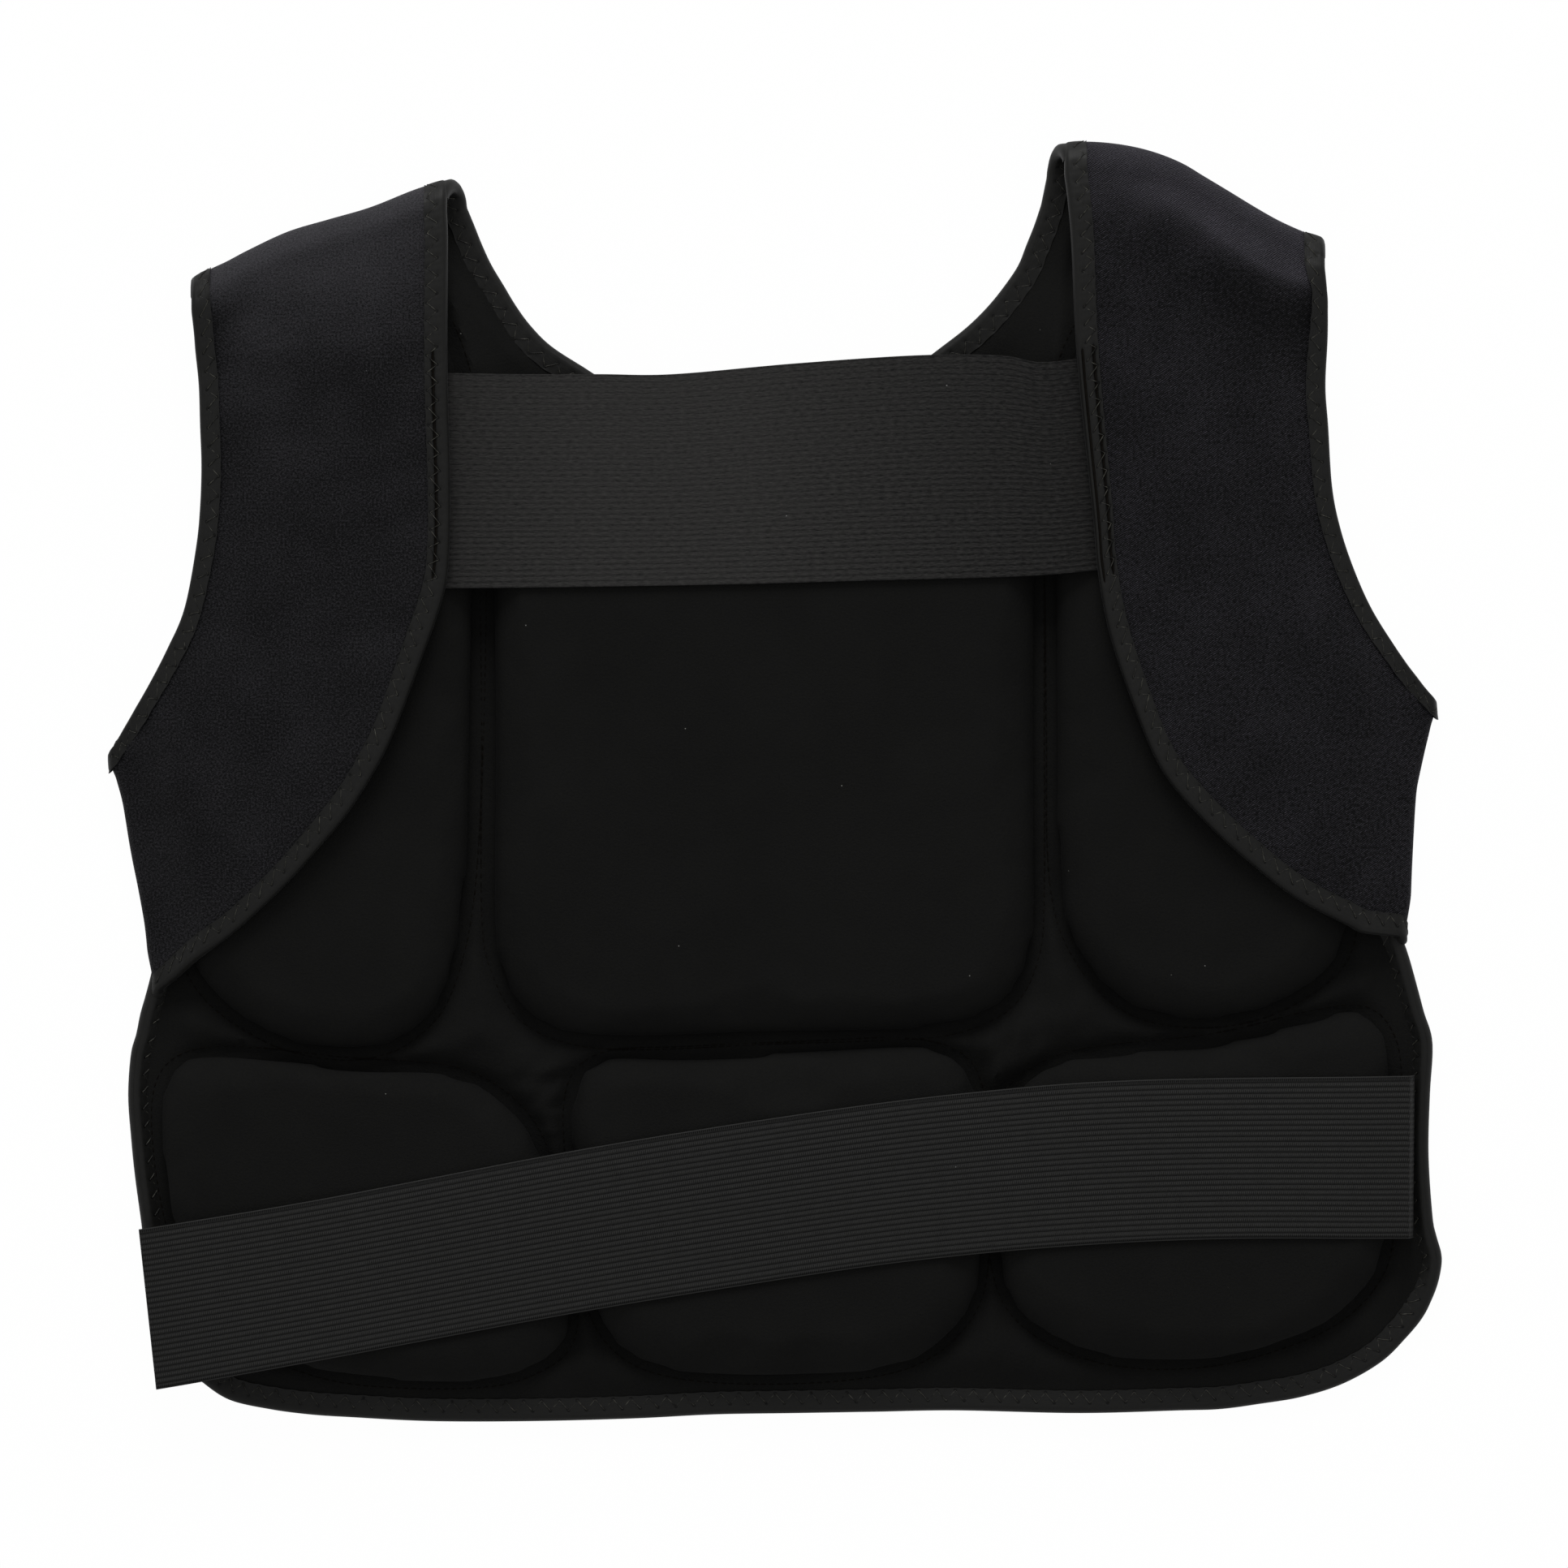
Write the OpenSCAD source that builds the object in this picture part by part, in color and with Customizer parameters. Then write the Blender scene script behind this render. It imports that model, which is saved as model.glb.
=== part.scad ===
// Chest protector for boxing, laid flat on its outer face.
// The lining, its six padded fields and the two back straps (yokes) face up.
// Millimetres, +Z up, +Y towards the neck, origin under the middle of the vest.

/* [Body] */
// Length from the top of the shoulders to the hem
body_l = 466; // [440:1:490]
// Width across the underarm corners
chest_w = 496; // [484:1:516]
// Height of the underarm corners above the hem
underarm_h = 253; // [243:1:263]
// Width across the waist, below the side folds
waist_w = 471; // [464:1:480]
// Height of the narrow waist above the hem
waist_h = 169; // [166:1:172]
// Width across the belly
belly_w = 484; // [478:1:492]
// Height of the widest part of the belly above the hem
belly_h = 128; // [120:1:134]
// Width across the hem corners
hem_w = 488; // [482:1:496]
// Height of the lower end of the side folds above the hem
side_fold_h = 163; // [159:1:164]

/* [Shoulders and neck] */
// Width across the shoulder ends
shoulder_w = 420; // [412:1:428]
// Width across the narrow part of the armholes
armhole_w = 419; // [411:1:427]
// Height of the narrow part of the armholes above the hem
armhole_h = 376; // [366:1:386]
// Width between the shoulders at the neck
neck_w = 229; // [219:1:237]
// Drop of the shoulder line from the neck to the arm
shoulder_drop = 37; // [27:1:47]
// Depth of the front neckline below the shoulders
neck_drop = 92; // [86:1:98]
// Width of each yoke beside the back band
yoke_w = 92; // [86:1:96]
// Rise of the left and right shoulder line above a straight one
shoulder_bow = [3, 12];
// How far the left and right hem corners are drawn in
corner_tuck = [6, 0];
// How much deeper the front is cut at the armholes than the yokes
arm_inset = 4; // [2:0.5:6]

/* [Fabrics] */
// Thickness of the neoprene
neoprene_t = 3; // [2:0.5:4]
// Thickness of the lining cloth
lining_t = 1; // [0.6:0.2:1.4]
// Thickness of the edge binding tape
tape_t = 0.8; // [0.6:0.1:1.2]
// Width of the edge binding
binding_w = 8.5; // [6:0.5:10]
// Clearance between the back and what it lies on
lay_gap = 0.3; // [0.3:0.1:0.8]
// Clearance between a sheet and the binding round it
fit_gap = 0.15; // [0.1:0.05:0.3]

/* [Pads] */
// Thickness of the foam pads at their edges
foam_t = 12; // [8:1:16]
// Height of the crown in the middle of a pad
foam_crown = 1.2; // [0.6:0.2:2]
// Width of the sewn channels between the pads
channel_w = 6.5; // [5:0.5:10]
// Width of the centre chest pad
chest_pad_w = 202; // [190:1:206]
// Width of the centre belly pad
belly_pad_w = 153; // [140:1:170]
// Height of the channel between the chest and belly pads above the hem
row_h = 139.5; // [136:1:144]
// Distance of the chest pads from the armholes and side folds
chest_margin = 21; // [20:1:25]
// Distance of the belly pads from the sides
belly_margin = 13; // [12.5:0.5:16]
// Distance of the belly pads from the hem
hem_margin = 15; // [11:1:20]
// Distance of the centre chest pad from the neckline
neck_margin = 16; // [12:1:24]
// Depth of the embossed fields on the outer face
emboss_t = 0.8; // [0.6:0.1:1.2]

/* [Elastics] */
// Height of the back band
band_w = 80; // [70:1:88]
// Height of the lower edge of the back band above the hem
band_h = 311; // [305:1:318]
// Thickness of the elastics
elastic_t = 1.5; // [1:0.25:2]
// Width of the waist strap
strap_w = 60; // [50:1:64]
// Height of the middle of the waist strap above the hem, at its sewn end
strap_h = 96; // [92:1:98]
// Drop of the waist strap at its free end
strap_drop = 55; // [50:1:58]
// Length of the waist strap past the middle of the vest
strap_reach = 232; // [200:1:235]
// Length of the hook patch
hook_l = 70; // [40:1:90]
// Thickness of the hook patch
hook_t = 1.5; // [1:0.25:2]
// Size of the loop patch, across and up
loop_patch = [45, 82];

/* [Lay] */
// Turn of the upper body as it lies, as a slope
lay_turn = 0.04; // [0:0.01:0.05]
// Lean of the upper body to the left, as a slope
lay_lean = 0.025; // [0:0.005:0.03]
// Drop of the free yoke edge at the armholes
arm_droop = 6; // [3:0.5:8]

/* [Hidden] */
$fn = 48;

left = -1;
right = 1;

// How far the laid vest reaches above and below its cut pattern.
lay_rise = 8;
lay_sag = 2;
hem_y = -(body_l + lay_rise - lay_sag) / 2;
lay_shift = 3;
lay_pivot_y = hem_y + row_h + 1.5;
lay_free_y = hem_y + side_fold_h + 13;
hem_grip = 0.15;

// Heights of the layers.
shell_z = tape_t;
pad_z = shell_z + neoprene_t;
lining_top_z = pad_z + foam_t + foam_crown + lining_t;
edge_top_z = pad_z + lining_t + tape_t;
yoke_z = lining_top_z + lay_gap + tape_t;
yoke_top_z = yoke_z + neoprene_t;
side_z = edge_top_z + lay_gap + tape_t;
side_top_z = side_z + neoprene_t;

// Outer radii of the folds at the shoulders and the sides.
shoulder_r = (yoke_top_z - shell_z) / 2;
side_r = (side_top_z - shell_z) / 2;

slot_inset = tape_t + fit_gap;
edge_mid_z = (edge_top_z) / 2;
edge_slot = (neoprene_t + lining_t) / 2;
yoke_slot = neoprene_t / 2;
channel_edge = channel_w / 2;

curve_steps = 4;
fold_steps = 6;

// ---- Curves ----

function unit(v) = v / norm(v);
function turned(v) = [-v.y, v.x];
function flat(p) = [p.x, p.y];
function eased(t) = sin(90 * min(1, max(0, t)));
function reversed(list) = [for (i = [len(list) - 1 : -1 : 0]) list[i]];
function last(list) = list[len(list) - 1];

// One point of a Catmull-Rom span between b and c.
function span_point(a, b, c, d, t) =
  b + 0.5 * t * (c - a + t * (2 * a - 5 * b + 4 * c - d + t * (3 * (b - c) + d - a)));

// A smooth open curve through the given points.
function curve(points, steps = curve_steps) = let(n = len(points)) [
  for (i = [0 : n - 2], k = [0 : steps - 1])
    span_point(points[max(i - 1, 0)], points[i], points[i + 1], points[min(i + 2, n - 1)], k / steps),
  points[n - 1]
];

function tangent(path, i) = unit(path[min(i + 1, len(path) - 1)] - path[max(i - 1, 0)]);

// The path moved sideways: a positive distance moves it to its left.
function beside(path, distance) =
  [for (i = [0 : len(path) - 1]) path[i] + distance * turned(tangent(path, i))];

function lengths(path, i = 0, sum = 0) =
  i == len(path) - 1 ? [sum] : concat([sum], lengths(path, i + 1, sum + norm(path[i + 1] - path[i])));

// The point at a given distance along the path.
function along(path, distance) =
  let(
    marks = lengths(path),
    after = [for (i = [1 : len(marks) - 1]) if (marks[i] >= distance) i],
    i = len(after) > 0 ? after[0] : len(marks) - 1,
    t = (distance - marks[i - 1]) / (marks[i] - marks[i - 1])
  ) path[i - 1] + t * (path[i] - path[i - 1]);

// The path cut to the stretch between two distances, in equal steps.
function stretch(path, from, to, steps) =
  [for (k = [0 : steps]) along(path, from + (to - from) * k / steps)];

// Distance of a point from a segment.
function from_segment(p, a, b) =
  let(t = min(1, max(0, (p - a) * (b - a) / ((b - a) * (b - a))))) norm(p - a - t * (b - a));

// ---- The cut pattern, for one half, and how it lies ----

// The hem stays put while the upper body lies turned.
function grip(y) = hem_grip + (1 - hem_grip) * min(1, max(0, (y - hem_y) / (lay_free_y - hem_y)));
function laid(p) = [
  p.x + lay_shift - lay_lean * (p.y - lay_pivot_y),
  p.y + lay_turn * grip(p.y) * p.x
];
function half(points, side) = [for (p = points) laid([side * p.x, p.y])];
function at(h) = hem_y + h;

shoulder_in = [neck_w / 2, at(body_l)];
shoulder_out = [shoulder_w / 2, at(body_l - shoulder_drop)];
underarm = [chest_w / 2, at(underarm_h)];
side_end = [(waist_w - 4) / 2, at(side_fold_h)];
armhole_x = armhole_w / 2;

// The armhole runs almost straight, then sweeps out to the underarm corner.
armhole_power = 2.3;
armhole_fall = at(armhole_h) - underarm.y;
armhole_points = [
  [shoulder_out.x, shoulder_out.y],
  [armhole_x + 0.5, (shoulder_out.y + at(armhole_h)) / 2],
  for (s = [0, 0.2, 0.4, 0.58, 0.74, 0.88, 1])
    [armhole_x + (underarm.x - armhole_x) * pow(s, armhole_power), at(armhole_h) - armhole_fall * s]
];

// Landmarks of the yoke's edge towards the neck and back, down to the side.
yoke_line_x = armhole_x - yoke_w;
yoke_inner_points = [
  shoulder_in,
  [yoke_line_x - 0.5, at(band_h + band_w)],
  [yoke_line_x + 3, at(band_h)],
  [yoke_line_x + 22, at(band_h - 55)],
  [yoke_line_x + 46, at(band_h - 94)],
  [yoke_line_x + 80, at(side_fold_h + 22)],
  side_end
];

neck_y = at(body_l - neck_drop);
neck_points = [
  [shoulder_in.x - 7, shoulder_in.y - 10],
  [shoulder_in.x - 17, neck_y + 53],
  [shoulder_in.x - 28, neck_y + 37],
  [shoulder_in.x - 46, neck_y + 22],
  [shoulder_in.x - 72, neck_y + 8],
  [20, neck_y + 0.4],
  [0, neck_y]
];

// From the end of the side fold round the hem corner to the middle of the hem.
function hem_points(side) = let(
  tuck = side == left ? corner_tuck[0] : corner_tuck[1],
  corner_x = hem_w / 2 - tuck
) [
  side_end,
  [waist_w / 2 + 0.5, side_end.y - 5],
  [waist_w / 2 + 3.5, (side_end.y + at(belly_h)) / 2],
  [belly_w / 2, at(belly_h)],
  [belly_w / 2 - 1.5 - tuck / 3, at(78)],
  [corner_x, at(54)],
  [corner_x - 12, at(24)],
  [corner_x - 54, at(5)],
  [0.385 * corner_x, at(0)],
  [0, at(0)]
];

side_fold_points = [
  underarm,
  [(underarm.x + waist_w / 2) / 2 - 2, underarm.y - 40],
  [waist_w / 2, at(waist_h + 14)],
  side_end
];

function bow(side) = side == left ? shoulder_bow[0] : shoulder_bow[1];
// Outermost line of a shoulder, from the neck to the arm.
function shoulder_line(side) = half([
  for (k = [0 : fold_steps]) let(t = k / fold_steps)
    shoulder_in + t * (shoulder_out - shoulder_in) + [0, bow(side) * sin(180 * pow(t, 0.75))]
], side);
// The line where the shell starts to fold up, inside the outermost line.
function shoulder_fold(side) = beside(shoulder_line(side), -side * shoulder_r);
function side_line(side) = half(curve(side_fold_points, 2), side);
function side_fold(side) = beside(side_line(side), -side * side_r);

// The stretch of a downward path that lies clear between two end points.
function joined(top, path, low, clear = 7) =
  [top, for (p = path) if (norm(p - top) > clear && p.y < top.y && norm(p - low) > clear) p, low];
// The corner at the end of a fold and a point square to it on the front.
function leaving(corner, next, side) = [corner, corner - 5 * side * turned(unit(next - corner))];
function neck_edge(side) =
  let(line = shoulder_fold(side), path = half(curve(neck_points, 2), side))
    leaving_path(leaving(line[0], line[1], side), path);
function leaving_path(start, path) = concat([start[0]], joined(start[1], path, last(path)));
function yoke_arm_edge(side) =
  joined(last(shoulder_fold(side)), half(curve(armhole_points, 2), side), side_fold(side)[0]);
function yoke_inner_edge(side) =
  joined(shoulder_fold(side)[0], half(curve(yoke_inner_points, 4), side), last(side_fold(side)));
// The front's armhole leaves the shoulder with the yoke's and is cut deeper below.
function front_arm_edge(side) =
  let(
    line = reversed(shoulder_fold(side)),
    edge = yoke_arm_edge(side),
    run = lengths(edge),
    path = [for (i = [0 : len(edge) - 1])
      edge[i] - side * arm_inset * eased(run[i] / 60) * turned(tangent(edge, i))]
  ) leaving_path(leaving(line[0], line[1], -side), path);
function hem_edge(side) = half(curve(hem_points(side), 2), side);

// ---- Solids from rings of points ----

// A skin through equal rings. The second half of each ring runs back along
// the first, so the two ends close as strips.
module skin(ring_list, turned_over = false) {
  rings = turned_over ? reversed(ring_list) : ring_list;
  n = len(rings[0]);
  m = len(rings);
  ends = (m - 1) * n;
  sides = [
    for (i = [0 : m - 2], j = [0 : n - 1])
      let(a = i * n + j, b = i * n + (j + 1) % n)
        each turned_over ? [[a, b, a + n], [b, b + n, a + n]] : [[a, b, b + n], [a, b + n, a + n]]
  ];
  caps = [
    for (j = [0 : n / 2 - 2])
      let(k = n - 1 - j)
        each [
          [j, k, k - 1], [j, k - 1, j + 1],
          [ends + j, ends + k - 1, ends + k], [ends + j, ends + j + 1, ends + k - 1]
        ]
  ];
  polyhedron([for (ring = rings) each ring], concat(sides, caps));
}

// Folded tape along an edge. Each mark is [edge point, inward, normal].
function tape_ring(mark, slot) =
  let(
    h = slot + tape_t,
    round = 0.45 * h,
    outer = [[binding_w, -h], [round, -h], [0, -h + round], [0, h - round], [round, h], [binding_w, h]],
    inner = [[binding_w, slot], [tape_t + 0.2, slot], [tape_t, slot - 0.2],
      [tape_t, -slot + 0.2], [tape_t + 0.2, -slot], [binding_w, -slot]]
  ) [for (q = concat(outer, inner)) mark[0] + q.x * mark[1] + q.y * mark[2]];

module tape(marks, slot, turned_over = false) {
  skin([for (mark = marks) tape_ring(mark, slot)], turned_over);
}

// Marks of an edge that lies flat, with its outer face down.
function flat_marks(path, turn) = [
  for (i = [0 : len(path) - 1])
    let(in = turn * turned(tangent(path, i)))
      [[path[i].x, path[i].y, edge_mid_z], [in.x, in.y, 0], [0, 0, -1]]
];

// Marks of an edge round a shoulder fold, from the flat front up to the top.
// along_fold points into the fold, outward away from the vest.
function fold_marks(corner, along_fold, outward) =
  let(r = shoulder_r - edge_slot)
    [for (k = [1 : fold_steps])
      let(
        angle = -90 + 180 * k / fold_steps,
        away = [outward.x * cos(angle), outward.y * cos(angle), sin(angle)]
      ) [
        [corner.x, corner.y, shell_z + shoulder_r] + r * away,
        [along_fold.x, along_fold.y, 0],
        away
      ]];

// The tape runs straight in from each end of the fold.
function neck_fold_marks(side) =
  let(line = shoulder_fold(side), in = unit(line[1] - line[0]))
    fold_marks(line[0], in, side * turned(in));
function arm_fold_marks(side) =
  let(line = reversed(shoulder_fold(side)), in = unit(line[1] - line[0]))
    fold_marks(line[0], in, -side * turned(in));

// ---- Pads ----

// A closed outline with rounded corners, each given as [x, y, radius].
function rounded(corners) = let(n = len(corners)) [
  for (i = [0 : n - 1])
    let(
      p = flat(corners[i]),
      a = unit(flat(corners[(i + n - 1) % n]) - p),
      b = unit(flat(corners[(i + 1) % n]) - p),
      opening = acos(max(-1, min(1, a * b))),
      r = corners[i][2],
      centre = p + unit(a + b) * r / sin(opening / 2),
      turn = 180 - opening,
      start = atan2((-turned(a)).y, (-turned(a)).x),
      steps = max(1, round(turn / (r > 30 ? 30 : 45))),
      first = p + a * r / tan(opening / 2) - centre
    )
      for (k = [0 : steps])
        let(w = turn * k / steps, c = cos(w), s = sin(w))
          centre + [first.x * c - first.y * s, first.x * s + first.y * c]
];

// A pad's solid: steep sides, a rounded shoulder and a low crown.
// cover makes it larger all round, for the lining that goes over it.
module pad_form(outline, cover = 0, dip = 0) {
  n = len(outline);
  low = min([for (p = outline) p.y]);
  high = max([for (p = outline) p.y]);
  mid_x = (min([for (p = outline) p.x]) + max([for (p = outline) p.x])) / 2;
  half_w = (max([for (p = outline) p.x]) - min([for (p = outline) p.x])) / 2;
  reach = max(1, (high - low) / 2 - half_w);
  mid = [mid_x, (low + high) / 2];
  // Nearest point of the pad's middle line.
  function core(p) = [mid.x, max(mid.y - reach, min(mid.y + reach, p.y))];
  function ring(inset, rise) = [
    for (i = [0 : n - 1])
      let(
        p = outline[i],
        out = -turned(unit(outline[(i + 1) % n] - outline[(i + n - 1) % n])),
        q = inset < 0.5 ? p + (cover * (1 - inset)) * out : p + (core(p) - p) * inset
      ) [q.x, q.y, pad_z + rise]
  ];
  function shoulder_ring(inset, rise) = [
    for (i = [0 : n - 1])
      let(
        p = outline[i],
        out = -turned(unit(outline[(i + 1) % n] - outline[(i + n - 1) % n])),
        q = p + (cover - inset) * out
      ) [q.x, q.y, pad_z + rise]
  ];
  rings = [
    shoulder_ring(0, -dip),
    shoulder_ring(1.5, 0.75 * foam_t + cover / 2),
    shoulder_ring(6, foam_t + cover),
    ring(0.55, foam_t + 0.8 * foam_crown + cover)
  ];
  m = len(rings);
  points = concat(
    [for (r = rings) each r],
    [[mid.x, mid.y, pad_z + foam_t + foam_crown + cover], [mid.x, mid.y, pad_z - dip]]
  );
  faces = concat(
    [for (i = [0 : m - 2], j = [0 : n - 1])
      let(a = i * n + j, b = i * n + (j + 1) % n)
        each [[a, b + n, b], [a, a + n, b + n]]],
    [for (j = [0 : n - 1]) [(m - 1) * n + j, m * n, (m - 1) * n + (j + 1) % n]],
    [for (j = [0 : n - 1]) [j, (j + 1) % n, m * n + 1]]
  );
  polyhedron(points, faces);
}

row_y = at(row_h);
pad_shift = -4;
belly_shift = -1;
chest_half = chest_pad_w / 2;
belly_half = belly_pad_w / 2;
side_in_x = chest_half + channel_w;
arm_pad_x = armhole_x - arm_inset - chest_margin;
chest_side_x = waist_w / 2 - side_r - chest_margin + 3;
belly_side_x = belly_w / 2 - belly_margin;
hem_side_x = 0.35 * hem_w / 2 + 0.65 * belly_w / 2 - belly_margin - 7.7;
belly_low_y = at(hem_margin);

centre_chest_corners = [
  [-chest_half, row_y + channel_edge, 38],
  [chest_half, row_y + channel_edge, 38],
  [chest_half - 5, neck_y - neck_margin, 26],
  [-chest_half + 5, neck_y - neck_margin, 26]
];
side_chest_corners = [
  [side_in_x, row_y + channel_edge + 1, 34],
  [chest_side_x - 6, row_y + channel_edge, 34],
  [underarm.x - side_r - chest_margin - 4.5, underarm.y - 16, 32],
  [arm_pad_x - 10, at(armhole_h + 25), 22],
  [side_in_x + 4, shoulder_in.y - 42, 16]
];
side_belly_corners = [
  [belly_half + channel_w + 2, belly_low_y, 34],
  [hem_side_x - 54, belly_low_y + 2, 60],
  [hem_side_x, at(46), 40],
  [belly_side_x - 2, row_y - channel_edge + 6, 18],
  [belly_half + channel_w + 5, row_y - channel_edge - 8, 22]
];
centre_belly_corners = [
  [-belly_half + 4, belly_low_y - 2, 40],
  [belly_half - 4, belly_low_y - 2, 40],
  [belly_half, row_y - channel_edge, 16],
  [-belly_half, row_y - channel_edge, 16]
];

function shifted(points, shift) = [for (p = points) laid([p.x + shift, p.y])];
function mirrored(corners) = reversed([for (c = corners) [-c.x, c.y, c[2]]]);
function pad_outline(name) =
  name == "centre_chest" ? shifted(rounded(centre_chest_corners), pad_shift) :
  name == "right_chest" ? shifted(rounded(side_chest_corners), pad_shift) :
  name == "left_chest" ? shifted(rounded(mirrored(side_chest_corners)), pad_shift) :
  name == "right_belly" ? shifted(rounded(side_belly_corners), belly_shift) :
  name == "left_belly" ? shifted(rounded(mirrored(side_belly_corners)), belly_shift) :
  shifted(rounded(centre_belly_corners), belly_shift);
pad_names = ["centre_chest", "left_chest", "right_chest", "left_belly", "centre_belly", "right_belly"];

module pad(name) {
  color("#4a4a4c") pad_form(pad_outline(name));
}

// ---- Front ----

// The front panel's flat outline: bound edges end inside their binding,
// folded edges where the fold starts.
// draw_in moves the folded edges in.
function front_half(side, draw_in) =
  let(
    neck = beside(neck_edge(side), side * slot_inset),
    arm = beside(front_arm_edge(side), -side * slot_inset),
    hem = beside(hem_edge(side), -side * slot_inset),
    fold = beside(side_fold(side), -side * draw_in),
    shoulder = beside(shoulder_fold(side), -side * draw_in)
  )
    concat(
      reversed(neck),
      [for (i = [1 : len(shoulder) - 2]) shoulder[i]],
      arm,
      [for (i = [1 : len(fold) - 1]) fold[i]],
      [for (i = [1 : len(hem) - 1]) hem[i]]
    );
function front_outline(draw_in = 0) =
  concat(
    front_half(right, draw_in),
    let(back = reversed(front_half(left, draw_in))) [for (i = [1 : len(back) - 2]) back[i]]
  );

// Sheet rolled up from the flat shell: a half round along a fold line.
module roll(line, side, r) {
  n = len(line);
  rings = [
    for (i = [0 : n - 1])
      let(
        out = side * turned(tangent(line, i)),
        arc = [for (k = [0 : fold_steps]) -90 + 180 * k / fold_steps],
        outer = [for (w = arc) [out.x * cos(w) * r, out.y * cos(w) * r, sin(w) * r]],
        q = r - neoprene_t,
        inner = [for (w = reversed(arc)) [out.x * cos(w) * q, out.y * cos(w) * q, sin(w) * q]],
        base = [line[i].x, line[i].y, shell_z + r],
        tuck = [-out.x, -out.y, 0]
      )
        concat(
          [base + outer[0] + tuck], [for (p = outer) base + p],
          [for (p = inner) base + p], [base + last(inner) + tuck]
        )
  ];
  skin(rings, side == right);
}

module outer_shell() {
  color("#1c1c1e") difference() {
    union() {
      translate([0, 0, shell_z]) linear_extrude(neoprene_t) polygon(front_outline());
      for (side = [left, right]) {
        shoulder = shoulder_fold(side);
        ends = last(lengths(shoulder));
        roll(stretch(shoulder, slot_inset, ends - slot_inset, 6), side, shoulder_r);
        fold = side_fold(side);
        roll(stretch(fold, fit_gap, last(lengths(fold)) - fit_gap, 7), side, side_r);
      }
      for (name = pad_names)
        translate([0, 0, shell_z - emboss_t])
          linear_extrude(emboss_t) polygon(beside_loop(pad_outline(name), 8));
    }
    translate([0, 0, shell_z - emboss_t - 1]) linear_extrude(emboss_t + 1) polygon(loop_outline(fit_gap));
  }
}

// A closed outline drawn in by a distance.
function beside_loop(outline, distance) = let(n = len(outline)) [
  for (i = [0 : n - 1])
    outline[i] + distance * turned(unit(outline[(i + 1) % n] - outline[(i + n - 1) % n]))
];

module lining() {
  color("#232324") difference() {
    union() {
      translate([0, 0, pad_z]) linear_extrude(lining_t) polygon(front_outline(0.6));
      for (name = pad_names) hull() pad_form(pad_outline(name), cover = lining_t);
    }
    for (name = pad_names) hull() pad_form(pad_outline(name));
  }
}

module neck_binding() {
  left_half = neck_edge(left);
  right_half = neck_edge(right);
  path = concat(left_half, [for (i = [len(right_half) - 2 : -1 : 0]) right_half[i]]);
  color("#2a2a2b") tape(
    concat(reversed(neck_fold_marks(left)), flat_marks(path, -1), neck_fold_marks(right)),
    edge_slot
  );
}

module armhole_binding(side) {
  color("#2a2a2b") tape(
    concat(reversed(arm_fold_marks(side)), flat_marks(front_arm_edge(side), -side)),
    edge_slot, side == left
  );
}

module hem_binding() {
  right_half = hem_edge(right);
  left_half = hem_edge(left);
  path = concat(
    [for (i = [1 : len(right_half) - 1]) right_half[i]],
    [for (i = [len(left_half) - 2 : -1 : 1]) left_half[i]]
  );
  color("#2a2a2b") tape(flat_marks(path, -1), edge_slot);
}

// ---- Yokes ----

yoke_rows = 14;
arm_drape = 24;
side_drape = 26;

// Height of a yoke's underside: level over the pads, lower at the free
// armhole edge, lowest at the side fold.
function yoke_under(p, side, arm_d) =
  let(
    a = side_fold(side)[0],
    b = last(side_fold(side)),
    arm_fall = arm_droop * (1 - eased(arm_d / arm_drape)) * eased(from_shoulder(p, side) / 30),
    side_fall = (yoke_z - side_z) * (1 - eased(from_segment(p, a, b) / side_drape))
  ) yoke_z - max(arm_fall, side_fall);
function from_shoulder(p, side) =
  let(line = shoulder_fold(side)) from_segment(p, line[0], last(line));

// Rows from the armhole edge to the inner edge, fanning from shoulder to side.
function yoke_row(side, k) =
  let(
    arm = yoke_arm_edge(side),
    inner = yoke_inner_edge(side),
    t = k / yoke_rows,
    a = along(arm, last(lengths(arm)) * t),
    b = along(inner, last(lengths(inner)) * t),
    l = norm(b - a),
    d = unit(b - a)
  ) [for (s = [arm_slot_inset, binding_w, 16, 24, 0.4 * l, 0.6 * l, 0.8 * l, l - binding_w, l - slot_inset])
      let(q = a + d * s + yoke_end_shift(side, k, 1 - s / l)) [q.x, q.y, yoke_under(q, side, s)]];

// The first rows follow the shoulder fold, the last ones the side fold, each
// a clearance away. u runs along the row from the inner edge to the armhole.
arm_slot_inset = slot_inset + 0.6;
fold_gap = 2 * lay_gap;
shoulder_rows = 3;
side_rows = 2;
function yoke_end_shift(side, k, u) =
  let(
    rest = yoke_rows - k
  )
    k < shoulder_rows ?
      fold_shift(shoulder_fold(side), side, u) * (1 - k / shoulder_rows) :
    rest < side_rows ?
      fold_shift(side_fold(side), side, 1 - u) * (1 - rest / side_rows) : [0, 0];
// From a fold's chord to the fold itself, less the clearance.
function fold_shift(line, side, u) =
  let(
    n = last(lengths(line)),
    chord = line[0] + u * (last(line) - line[0])
  ) along(line, max(0.01, min(0.99, u)) * n) - chord
    - side * fold_gap * turned(unit(last(line) - line[0]));

module yoke(side) {
  rows = [for (k = [0 : yoke_rows]) yoke_row(side, k)];
  up = [0, 0, neoprene_t];
  color("#1b1a1c") skin([for (row = rows) concat(row, [for (p = reversed(row)) p + up])], side == left);
}

// Marks of a yoke edge: inward follows the slope of the cloth there.
function yoke_marks(side, inner) = [
  for (k = [0 : yoke_rows])
    let(
      row = yoke_row(side, k),
      n = len(row),
      a = inner ? row[n - 1] : row[0],
      b = inner ? row[n - 2] : row[1],
      in = unit(b - a),
      edge = a - (inner ? slot_inset : arm_slot_inset) * in + [0, 0, yoke_slot]
    ) [edge, in, unit([-in.x * in.z, -in.y * in.z, 1 - in.z * in.z])]
];

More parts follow.
